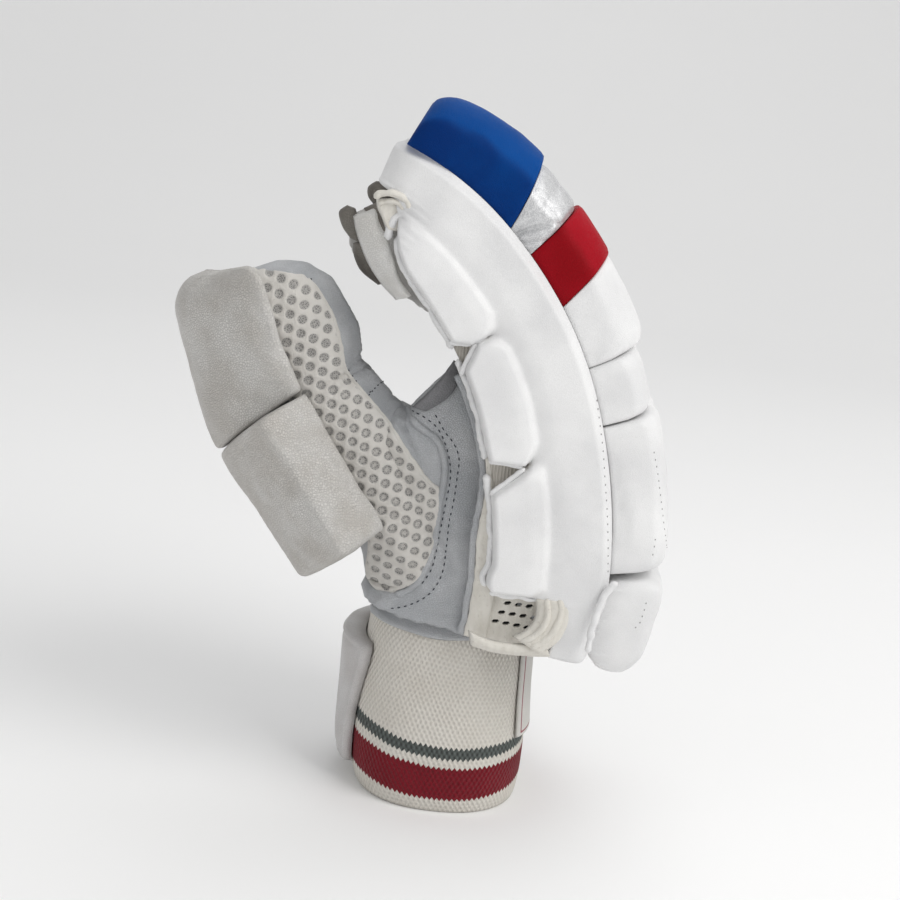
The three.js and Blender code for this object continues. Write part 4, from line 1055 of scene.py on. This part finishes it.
def slot_shade_place(u, v, h):
    s, n = SLOT_SHADE["start"] + SLOT_SHADE["tall"] * v, SLOT_SHADE["palm"] + SLOT_SHADE["wide"] * u
    return hand_point("index", s, n, -(SLOT_SHADE["seat"] + h))


slot_shade_sheet = slab(slot_shade_place, 16, 16, 0.3, edges(SLOT_SHADE["wide"], SLOT_SHADE["tall"], 0.4))
piece("vent_slot_shade_sheet", slot_shade_sheet, slot_shade_material)


def flap_mesh(row, uneven):
    """A soft piece between two edges given in the photograph's frame, at that depth and with that bulge."""
    left, right = [
        [{"at": k, "x": x, "y": y} for k, (x, y) in enumerate(row[side])] for side in ("left", "right")
    ]

    def place(u, v, h):
        k = v * (len(left) - 1)
        x = read(left, "x", k) * (1 - u) + read(right, "x", k) * u
        y = read(left, "y", k) * (1 - u) + read(right, "y", k) * u
        p = on_plane(x, y, row["depth"] + row["swing"] * (0.5 - u))
        return p + Vector((0.3, -1, 0)) * (h + uneven * lumps(p, 3.2, 4))

    def thick(u, v):
        return 1.6 + row["bulge"] * math.sin(math.pi * u) ** 0.8

    return slab(place, 30, 50, thick, edges(22, 40, 1.6))


VENT_FLAPS = [
    {"name": "vent_border", "depth": -54, "swing": 1, "bulge": 1.6,
     "left": [(535, 597), (536, 609), (533, 620), (525, 629), (512, 636)],
     "right": [(568, 597), (569, 612), (565, 629), (555, 643), (538, 654)]},
    {"name": "vent_foot", "depth": -53, "swing": -1, "bulge": 1.2,
     "left": [(468, 630), (492, 640), (520, 643), (546, 644)],
     "right": [(470, 645), (494, 652), (522, 655), (550, 656)]},
]
for row in VENT_FLAPS:
    piece(row["name"], flap_mesh(row, 0.3), cream_tape, (), "cream_trim")
BINDINGS = [
    {"radius": 1.25, "line": [(547, 599), (548, 609), (547, 619), (542, 629), (533, 637), (521, 642)]},
    {"radius": 1.35, "line": [(560, 598), (561, 609), (559, 621), (553, 632), (543, 641), (530, 648)]},
]
for k, row in enumerate(BINDINGS):
    points = [on_plane(x, y, -56.6 + 0.4 * math.sin(j * 1.7)) for j, (x, y) in enumerate(row["line"])]
    stands_for = () if k else ["vent_binding"]
    strip = tube(points, row["radius"], 1.1, 0.16)
    piece(f"vent_binding_{k + 1}", strip, cream_tape, stands_for, "cream_trim")


# Padding on the back
# The real padding is foam cut in rolls and sewn under one skin of coloured leather, finger by finger.
# A row's from and to are shares of the finger, or millimetres along the hand where they are above 2.
# Lean is how far the top of an end leans along the finger, in millimetres.
# Open is 0 at a flush seam, 1 at a crease and 2 at a tip.
ROLL = {"low": 21.4, "height": 22.6, "clear": 0.12}
COLUMNS = {
    "index": {"lo": -60.48, "hi": -26.6, "chamfer": 11},
    "middle": {"lo": -25.4, "hi": -0.6, "chamfer": 4.4},
    "ring": {"lo": 0.6, "hi": 25.4, "chamfer": 4.4},
    "little": {"lo": 26.6, "hi": 57, "chamfer": 4.4},
}
PADDING = [
    {"name": "back_block", "from": 38.7, "to": 88.5, "lean0": 3, "lean1": 1.4, "height": 0.92,
     "open": (1, 1), "look": "white"},
    {"name": "knuckle_block", "from": 88.9, "to": 0.135, "lean0": 1.4, "lean1": 1, "height": 0.82,
     "open": (1, 1), "look": "white"},
    {"name": "base_roll", "from": 0.135, "to": 0.34, "lean0": 1, "lean1": 5.4, "height": 0.98,
     "open": (1, 0), "look": "white"},
    {"name": "middle_roll", "from": 0.34, "to": 0.53, "lean0": 5.4, "lean1": 2, "height": 1.02,
     "open": (0, 0), "look": "red"},
    {"name": "flex_roll", "from": 0.53, "to": 0.63, "lean0": 2, "lean1": 6.6, "height": 0.98,
     "open": (0, 0), "look": "silver"},
    {"name": "tip_roll", "from": 0.63, "to": 1, "lean0": 6.6, "lean1": -1.5, "height": 1.09,
     "open": (0, 2), "look": "blue"},
]


def silver_leather_finish():
    """Foil-coated leather: metal flakes over a fine grain, crinkled where the finger bends, with bright
    spots painted into its colour as glints.
    """
    foil = Finish("silver_leather")
    flakes = foil.cells(0.32, feature="F1")
    crackle = foil.noise(3.4, 4)
    fine = foil.noise(0.5, 3)
    tone = foil.mix(foil.step(crackle, 0.3, 0.72), (0.47, 0.475, 0.485, 1), (0.58, 0.585, 0.595, 1))
    # Painted highlight: small bright spots painted into the foil colour stand for glints.
    tone = foil.mix(foil.step(foil.noise(0.42, 2), 0.42, 0.62) * 0.5, tone, (0.86, 0.86, 0.865, 1))
    foil.tree.links.new((0.45 + fine * 0.25).socket, foil.shader.inputs["Metallic"])
    return foil.show(tone, 0.42 + fine * 0.2, flakes * 0.3 + crackle * 0.25 + fine * 0.4, 0.15)


def dyed_with_painted_light(name, side, back):
    """Smooth dyed leather with painted light: the side face of a roll is painted in the darker shaded
    colour, its chamfer and back in the lighter lit colour, by a mark made in roll_mesh.
    """
    finish = Finish(name, specular_ior_level=0.07)
    # Painted light: the mark is 0 on the side face of a roll and 1 on its chamfer and back, so the side gets
    # the shaded colour and the rest the lit colour.
    turned = finish.mark("lit_share")
    cloud = finish.step(finish.noise(19, 3), 0.3, 0.7)
    pebbles = finish.step(finish.cells(0.6), 0.0, 0.16)
    fine = finish.noise(0.25, 3)
    folds = finish.noise(4.5, 4)
    tone = finish.mix(turned * 0.7 + cloud * 0.3, side + (1,), back + (1,))
    # Painted shade: the gaps between the pebbles are darkened.
    shaded_pores = finish.mix((1 - pebbles) * 0.12, tone, tuple(0.4 * c for c in side) + (1,))
    return finish.show(shaded_pores, 0.42 + fine * 0.12, pebbles * 0.5 + fine * 0.25 + folds * 0.9, 0.10)


# The red and blue leathers each get a shaded colour for the side face and a lit colour for the back: painted
# light.
LOOKS = {
    "white": (white_leather, "white_leather"),
    "red": (dyed_with_painted_light("red_leather", (0.24, 0.002, 0.006), (0.38, 0.005, 0.015)), "red_leather"),
    "silver": (silver_leather_finish(), "silver_leather"),
    "blue": (dyed_with_painted_light("blue_leather", (0.0, 0.026, 0.15), (0.0, 0.066, 0.29)), "blue_leather"),
}
WRINKLES = {
    "flex_roll": [
        {"along0": 0.78, "rise0": 0, "along1": 0.14, "rise1": 0.62, "deep": 2.55},
        {"along0": 0.95, "rise0": 0, "along1": 0.62, "rise1": 0.42, "deep": 1.35},
        {"along0": 0.5, "rise0": 0, "along1": 0.06, "rise1": 0.3, "deep": 1.8},
        {"along0": 0.2, "rise0": 0, "along1": 0.02, "rise1": 0.14, "deep": 1.2},
    ],
    "base_roll": [
        {"along0": 0.12, "rise0": 0.1, "along1": 0.35, "rise1": 0.6, "deep": 0.525},
        {"along0": 0.2, "rise0": 0, "along1": 0.5, "rise1": 0.5, "deep": 0.45},
    ],
}


def wrinkled(name, along, rise):
    """Depth of the folds that run up the side face of a roll, from its foot toward the top."""
    deep = 0
    for row in WRINKLES.get(name, ()):
        f = min(1.2, max(0, (rise - row["rise0"]) / (row["rise1"] - row["rise0"])))
        middle = row["along0"] + (row["along1"] - row["along0"]) * f
        fades = ease(f * 4 + 0.5) * (1 - 0.8 * min(1, f))
        deep += row["deep"] * math.exp(-((along - middle) / 0.085) ** 2) * fades
    return deep


def roll_mesh(digit, row, column):
    """A roll or block of one finger, with its own creases, wrinkles and chamfer toward the side, and a mark
    of painted light that is 0 on its side face and 1 on its chamfer and top.
    """
    reach = DIGITS[digit]["reach"]
    last = row["name"] == "tip_roll"
    silver = row["look"] == "silver"
    to = DIGITS[digit]["roll_end"] if last else row["to"]
    start, end = (at if at > 2 else HAND["reach"] + at * reach for at in (row["from"], to))
    start, end = start + ROLL["clear"], end - ROLL["clear"]
    top_height = ROLL["low"] + ROLL["height"] * row["height"]
    chamfer = column["chamfer"] * (0.6 if row["from"] > 2 else 1)
    rings, lit_shares = [], []
    for s in stations(start, end, 0.2 if silver else 0.45, 0.35 if silver else 1.35):
        along = (s - start) / (end - start)
        near0, near1 = s - start, end - s
        cut, dip = 0, 0
        for near, opening in ((near0, row["open"][0]), (near1, row["open"][1])):
            if opening == 0:
                cut += 0.4 * math.exp(-((near / 0.9) ** 2))
            elif opening == 1:
                cut += 1.9 * rounded(near, 3.6)
                dip += 1.7 * rounded(near, 6)
            else:
                cut += 3.4 * rounded(near, 7)
                dip += 1.8 * rounded(near, 10)
        top = top_height - cut - dip - (4.4 * along**2 if last else 0)
        a, b = column["lo"] + min(cut, 3.4), column["hi"] - min(cut, 2.0)
        c, d = chamfer, min(6, (b - a) / 4)
        under = [(ROLL["low"], b - 1), (ROLL["low"], a + 1), (ROLL["low"] + 1, a)]
        bevelled = [(top - c, a), (top - c * 0.66, a + c * 0.12), (top - c * 0.1, a + c * 0.74)]
        crown = [(top + 1.1, (a + b) / 2), (top + 0.2, b - d)]
        crown += [(top - d * 0.3, b - d * 0.25), (top - d * 1.2, b)]
        ring, lit_share = [], []
        for n, y in spaced(softened(under + bevelled + crown), 150 if silver else 88):
            # Painted light mark: 0 on the side face, which the dyed leathers paint in their shaded colour,
            # and 1 on the chamfer and top, painted lit.
            lit_share.append(ease((y - a - 0.4 - 1.5 * lumps(Vector((s, n, 0)), 9, 3)) / 2.4))
            rise = (n - ROLL["low"]) / ROLL["height"]
            lean = row["lean0"] * (1 - along) + row["lean1"] * along
            p = hand_point(digit, s + rise * lean, n, y)
            front = ease((ROLL["low"] + 16 - n) / 6) if y < column["lo"] + 6 else 0.35
            deep = wrinkled(row["name"], along, rise) * (1 if silver else front)
            deep -= 0.3 * lumps(p, 10, 4)
            deep -= 0.22 * lumps(p, 3.4, 6) if silver else 0.1 * lumps(p, 4, 6)
            inward = Vector((0, 1, 0)) if y < column["lo"] + 3 else Vector((0, 0, 0))
            x, z, heading = hand_line(digit, round(s, 3))
            inward = inward - Vector((math.cos(heading), 0, math.sin(heading))) * ease(rise * 1.4)
            ring.append(p + inward * deep)
        rings.append(ring)
        lit_shares.append(lit_share)
    caps = [[0.6] * len(lit_shares[0])] * 3
    return wrap(capped(rings), 0, None, {"lit_share": caps + lit_shares + caps})


roll_trees = {}
for digit, column in COLUMNS.items():
    for row in PADDING:
        mesh = roll_mesh(digit, row, column)
        if row["from"] > 2:
            mesh = puffed(mesh, 1.1)
        roll_trees[digit, row["name"]] = BVHTree.FromBMesh(mesh)
        material, slot = LOOKS[row["look"]]
        piece(f"{digit}_{row['name']}_cover", mesh, material, [f"{digit}_{row['name']}"], slot)

# Index fingertip
# The real one has a bound, lined opening under the white skin that is drawn round the tip.
# Beyond it show the pale gusset between the fingers and the dark tips of the other stalls.
hide = leather("tip_hide", (0.78, 0.765, 0.73), (0.90, 0.89, 0.87), 0.8, 0.35, 0.62, 0.12)
# Painted shade: a dark grey leather for the flap that stands for the shade in the web between thumb and
# index finger.
painted_shade_leather = leather("painted_shade_leather", (0.14, 0.14, 0.145), (0.24, 0.24, 0.25), 0.8, 0.3, 0.6, 0.3)
umber = leather("tip_umber", (0.10, 0.085, 0.07), (0.26, 0.24, 0.21), 0.8, 0.3, 0.6, 0.4)
TIP_FLAPS = [
    {"name": "tip_gusset", "depth": -49, "swing": 6, "bulge": 3.5, "look": hide,
     "left": [(353, 216), (356, 232), (362, 250), (369, 266), (381, 284), (396, 300)],
     "right": [(374, 204), (382, 222), (388, 240), (393, 258), (399, 278), (412, 296)]},
    {"name": "tip_lining", "depth": -56, "swing": -2, "bulge": 0.7, "look": cream_tape,
     "left": [(376, 199), (377, 207), (381, 216), (387, 230)],
     "right": [(408, 197), (409, 206), (404, 215), (396, 231)]},
    # Painted shade: a dark umber flap laid in the hollow of the tip opening.
    {"name": "tip_hollow_shade", "depth": -52, "swing": 4, "bulge": 0.2, "look": umber,
     "left": [(364, 208), (366, 214), (370, 221), (376, 230)],
     "right": [(379, 201), (380, 210), (382, 220), (386, 232)]},
    # Painted shade: a dark flap laid in the web where it lies in shade.
    {"name": "web_shade", "depth": -47, "swing": -2, "bulge": 0.6, "look": painted_shade_leather,
     "left": [(412, 407), (426, 394), (440, 379), (454, 360)],
     "right": [(424, 411), (438, 404), (452, 392), (464, 368)]},
    {"name": "far_tip_fold", "depth": -25.4, "swing": 1.5, "bulge": 1.2, "look": umber,
     "left": [(347, 205), (339, 212), (342, 226), (350, 238)],
     "right": [(355, 208), (357, 216), (358, 230), (360, 243)]},
    {"name": "far_stall_fold", "depth": -25.4, "swing": 1.5, "bulge": 1.2, "look": umber,
     "left": [(353, 243), (354, 256), (361, 271), (378, 285)],
     "right": [(362, 240), (370, 256), (378, 270), (386, 282)]},
    {"name": "tip_tuck", "depth": -46, "swing": 3, "bulge": 2.5, "look": umber,
     "left": [(376, 181), (368, 187), (368, 196), (373, 204)],
     "right": [(390, 182), (392, 190), (391, 198), (386, 203)]},
]
for row in TIP_FLAPS:
    piece(row["name"], flap_mesh(row, 0.5), row["look"], (), "palm_leather")
TIP_TUBES = [
    {"name": "tip_binding", "depth": -60, "radius": 1.25, "look": cream_tape,
     "line": [(374, 198), (380, 194), (389, 193), (399, 195), (407, 201), (410, 210)]},
    {"name": "tip_binding_inner", "depth": -59, "radius": 1.0, "look": cream_tape,
     "line": [(378, 205), (384, 202), (392, 201), (400, 204), (404, 211)]},
    {"name": "tip_strip", "depth": -57.5, "radius": 1.5, "look": white_leather,
     "line": [(415, 199), (411, 208), (403, 214), (395, 219), (390, 228), (388, 240)]},
]
for row in TIP_TUBES:
    points = [on_plane(x, y, row["depth"] + 0.3 * math.sin(2.1 * k)) for k, (x, y) in enumerate(row["line"])]
    piece(row["name"], tube(points, row["radius"], 1.1, 0.25), row["look"], (), "cream_trim")

# Wrist flare
# The real one is a wide foam block in white leather that stands clear of the wrist.
# Its index end is closed by a gathered seam.
FLARE_ROWS = [
    {"at": 0, "under": 22.5, "over": 35.5, "across": 0.93},
    {"at": 0.2, "under": 17.4, "over": 39.8, "across": 0.97},
    {"at": 0.5, "under": 17.4, "over": 41.2, "across": 0.99},
    {"at": 0.85, "under": 19.2, "over": 42.6, "across": 1},
    {"at": 1, "under": 21.2, "over": 39, "across": 0.985},
]
rings = []
for s in stations(4.7, 36.2, 0.45, 1.3):
    at = (s - 4.7) / 31.5
    cut = 1.5 * rounded(s - 4.7, 3.5) + 1.8 * rounded(36.2 - s, 4)
    lo, hi = read(FLARE_ROWS, "under", at) + cut * 0.5, read(FLARE_ROWS, "over", at) - cut
    width = read(FLARE_ROWS, "across", at)
    a, b = -60.48 * width + cut, 57 * width - cut
    sides = [(lo, b - 4), (lo, 0), (lo, a + 4), (lo + 3, a), (hi - 4, a)]
    sides += [(hi, a + 4), (hi + 0.8, 0), (hi, b - 4), (hi - 4, b), (lo + 3, b)]
    ring = []
    for n, y in spaced(softened(sides, 3), 150):
        p = hand_point("index", s + 2.4 * (n - 21) / 21 * at, n, y)
        gather = ease((-48 - y) / 8) * ease((30 - n) / 7)
        pull = 0.35 * lumps(p, 13, 4) + 0.5 * gather * math.sin(s * 2.1 + 2 * lumps(p, 5, 2))
        ring.append(p + Vector((0, -pull, 0)) + Vector((0.5 * pull, 0, 0)))
    rings.append(ring)
flare_mesh = puffed(wrap(capped(rings)), 1.3)
flare_tree = BVHTree.FromBMesh(flare_mesh)
piece("wrist_flare_cover", flare_mesh, white_leather, ["wrist_flare"], "white_leather")
FLARE_SEAM = [(617, 582), (608, 591), (600, 604), (595, 620), (590, 637), (588, 653)]
seam_points = [on_plane(x, y, -59.2 + 0.3 * math.sin(2 * k)) for k, (x, y) in enumerate(FLARE_SEAM)]
piece("flare_seam", tube(seam_points, 1.3, 0.9, 0.3), white_leather, (), "white_leather")


# Little finger side
# The real one isn't in the photograph. It is a plain padded band of white leather.
def far_place(u, v, h):
    s = 8.5 + 165 * v
    draw = 4 * rounded(min(v, 1 - v) * 165, 9)
    lo = -12 * min(1, s / 42) + draw
    hi = 21 * (0.3 + 0.7 * min(1, s / 39.5)) - draw
    return hand_point("little", s, lo + (hi - lo) * u, 51.4 + h)


def far_thick(u, v):
    return 5.2 + 0.8 * math.sin(math.pi * u) + 0.3 * lumps(Vector((u * 30, v * 165, 0)), 14, 6)


piece("little_side_skin", slab(far_place, 44, 150, far_thick, edges(30, 165, 3)), white_leather,
      ["little_side_panel"], "white_leather")


# Stitches
# The real ones are polyester thread, in single and double rows along the seams.
# Lines are points in the photograph's frame, and each stitch lies on the surface seen there.
def sewn(name, tree, line, material, pitch=2.5, length=1.5, width=0.55, sink=0.1):
    """A row of stitches along a line, as one mesh."""
    rows = [{"at": i, "x": x, "y": y} for i, (x, y) in enumerate(line)]
    mesh = bmesh.new()
    path, k = [], 0.0
    while k <= len(line) - 1:
        path.append((read(rows, "x", k), read(rows, "y", k)))
        k += 0.02
    previous = None
    carried = pitch
    for x, y in path:
        spot, normal = seen(tree, x, y)
        if previous is not None:
            carried += (spot - previous).length
            if carried >= pitch:
                carried = 0
                along = (spot - previous).normalized()
                across = normal.cross(along).normalized()
                turn = Matrix((along, across, along.cross(across))).transposed().to_4x4()
                size = Matrix.Diagonal((length / 2 * MM, width / 2 * MM, width / 2 * MM, 1))
                place = Matrix.Translation((spot + TO_ROW + normal * sink) * MM)
                bmesh.ops.create_icosphere(mesh, subdivisions=1, radius=1, matrix=place @ turn @ size)
        previous = spot
    for face in mesh.faces:
        face.smooth = True
    return piece(name, mesh, material)


def thread(name, dark, light):
    """Twisted thread."""
    finish = Finish(name)
    twist = finish.noise(0.4, 2)
    return finish.show(finish.mix(twist, dark + (1,), light + (1,)), 0.6 + twist * 0.2, twist, 0.1)


WEB_FOLD = [
    (407, 408), (414, 421), (424, 430), (434, 437), (441, 448), (445, 464), (444, 482),
    (441, 497), (438, 518), (435, 540), (429, 561), (420, 579), (408, 590), (396, 595),
]
CUFF_BORDER = [(372, 612), (380, 619), (392, 626), (412, 633), (433, 639), (453, 641), (472, 641)]
cuff_tree = BVHTree.FromBMesh(joined(["cuff"]))
fold_points = [seen(skin_tree, x, y)[0] + Vector((0, -0.1, 0)) for x, y in WEB_FOLD]
piece("web_fold", tube(fold_points, 1.3, 0.8, 0.12), palm_leather, (), "palm_leather")
border_rows = [{"at": k, "x": x, "y": y} for k, (x, y) in enumerate(CUFF_BORDER)]


@lru_cache(maxsize=None)
def skirt_spot(u, v):
    k = u * (len(CUFF_BORDER) - 1)
    x, y = read(border_rows, "x", k), read(border_rows, "y", k) - 30 * v
    ways = (seen(skin_tree, x, y), seen(cuff_tree, x, y))
    return min(ways, key=lambda way: (way[0] - on_plane(x, y, way[0].y)).length * 9 + (way[0] - EYE).length)


def skirt_place(u, v, h):
    spot, normal = skirt_spot(u, v)
    return spot + normal * (h - 0.1)


def skirt_thick(u, v):
    return 1.5 * (1 - ease(v * 1.3)) + 0.1


skirt_mesh = slab(skirt_place, 70, 26, skirt_thick, edges(34, 10, 1.2))
piece("palm_skirt", skirt_mesh, palm_leather, (), "palm_leather")
slate_thread = thread("slate_thread", (0.02, 0.022, 0.03), (0.07, 0.075, 0.09))
ash_thread = thread("ash_thread", (0.22, 0.22, 0.22), (0.40, 0.40, 0.39))
WEB_INNER = [
    (413, 411), (427, 419), (438, 429), (446, 446), (450, 464), (450, 481),
    (445, 507), (440, 532), (436, 552), (431, 570), (421, 585),
]
WEB_OUTER = [
    (436, 416), (445, 432), (454, 444), (459, 459), (457, 478), (454, 499), (449, 523),
    (447, 542), (443, 570), (436, 586), (424, 598), (406, 606), (390, 608), (375, 604),
]
PANEL_HOLES = [(597, 400), (600, 425), (603, 450), (605, 480), (607, 510), (608, 540), (608, 572)]
BACK_HOLES = [(654, 452), (658, 475), (661, 500), (664, 525), (667, 550), (668, 566)]
FLARE_HOLES = [(657, 622), (653, 638), (647, 652), (640, 667)]
MESH_EDGE = [(311, 279), (319, 290), (327, 307), (335, 324), (339, 343), (342, 360), (358, 384)]
THUMB_CROSS = [(385, 380), (377, 386), (368, 396)]
sewn("web_stitches_inner", skin_tree, WEB_INNER, slate_thread)
sewn("web_stitches_outer", skin_tree, WEB_OUTER, slate_thread)
sewn("mesh_edge_stitches", skin_tree, MESH_EDGE, slate_thread, 2.6, 1.0, 0.6, 0.1)
sewn("thumb_cross_stitches", skin_tree, THUMB_CROSS, slate_thread, 2.2, 1.0, 0.5, 0.1)
sewn("panel_needle_holes", side_tree, PANEL_HOLES, ash_thread, 2.9, 0.8, 0.55, 0.0)
sewn("back_needle_holes", roll_trees["index", "back_block"], BACK_HOLES, ash_thread, 2.6, 0.8, 0.5, 0.0)
sewn("flare_needle_holes", flare_tree, FLARE_HOLES, ash_thread, 2.6, 0.8, 0.5, 0.0)

# Stage
# A pale floor and soft light from above, from the right and from the front.
floor_mesh = bmesh.new()
bmesh.ops.create_grid(floor_mesh, x_segments=2, y_segments=80, size=1)
for v in floor_mesh.verts:
    run = (v.co.y + 1) * 4.2 - 3
    bend = min(math.pi / 2, max(0, run - 1.2))
    v.co = (v.co.x * 5, min(run, 1.2) + math.sin(bend), 1 - math.cos(bend) + max(0, run - 1.2 - math.pi / 2))
for face in floor_mesh.faces:
    face.smooth = True
floor_data = bpy.data.meshes.new("floor")
floor_mesh.to_mesh(floor_data)
floor_mesh.free()
floor = bpy.data.objects.new("floor", floor_data)
bpy.context.scene.collection.objects.link(floor)
paper = Finish("floor_paper")
pale = paper.mix(paper.noise(400), (0.90, 0.90, 0.90, 1), (0.93, 0.93, 0.93, 1))
floor_data.materials.append(paper.show(pale, paper.noise(90) * 0.1 + 0.8, paper.noise(3), 0.02))
world = bpy.data.worlds.new("studio")
bpy.context.scene.world = world
world.use_nodes = True
world.node_tree.nodes["Background"].inputs["Color"].default_value = (1, 1, 1, 1)
world.node_tree.nodes["Background"].inputs["Strength"].default_value = 0.58
for name, place, size, power, colour in (
    ("key", (0.95, -0.75, 1.15), 1.0, 13, (1, 0.99, 0.975)),
    ("fill", (-1.2, -0.9, 0.7), 1.4, 1.5, (0.96, 0.98, 1)),
    ("back", (0.3, 0.6, 1.6), 1.2, 5, (1, 1, 1)),
):
    light = bpy.data.lights.new(name, "AREA")
    light.size = size
    light.energy = power
    light.color = colour
    lamp = bpy.data.objects.new(name, light)
    lamp.location = place
    lamp.rotation_euler = (Vector((0, 0, 0.14)) - lamp.location).to_track_quat("-Z", "Y").to_euler()
    bpy.context.scene.collection.objects.link(lamp)
bpy.context.scene.view_settings.view_transform = "Standard"

bpy.context.view_layer.update()
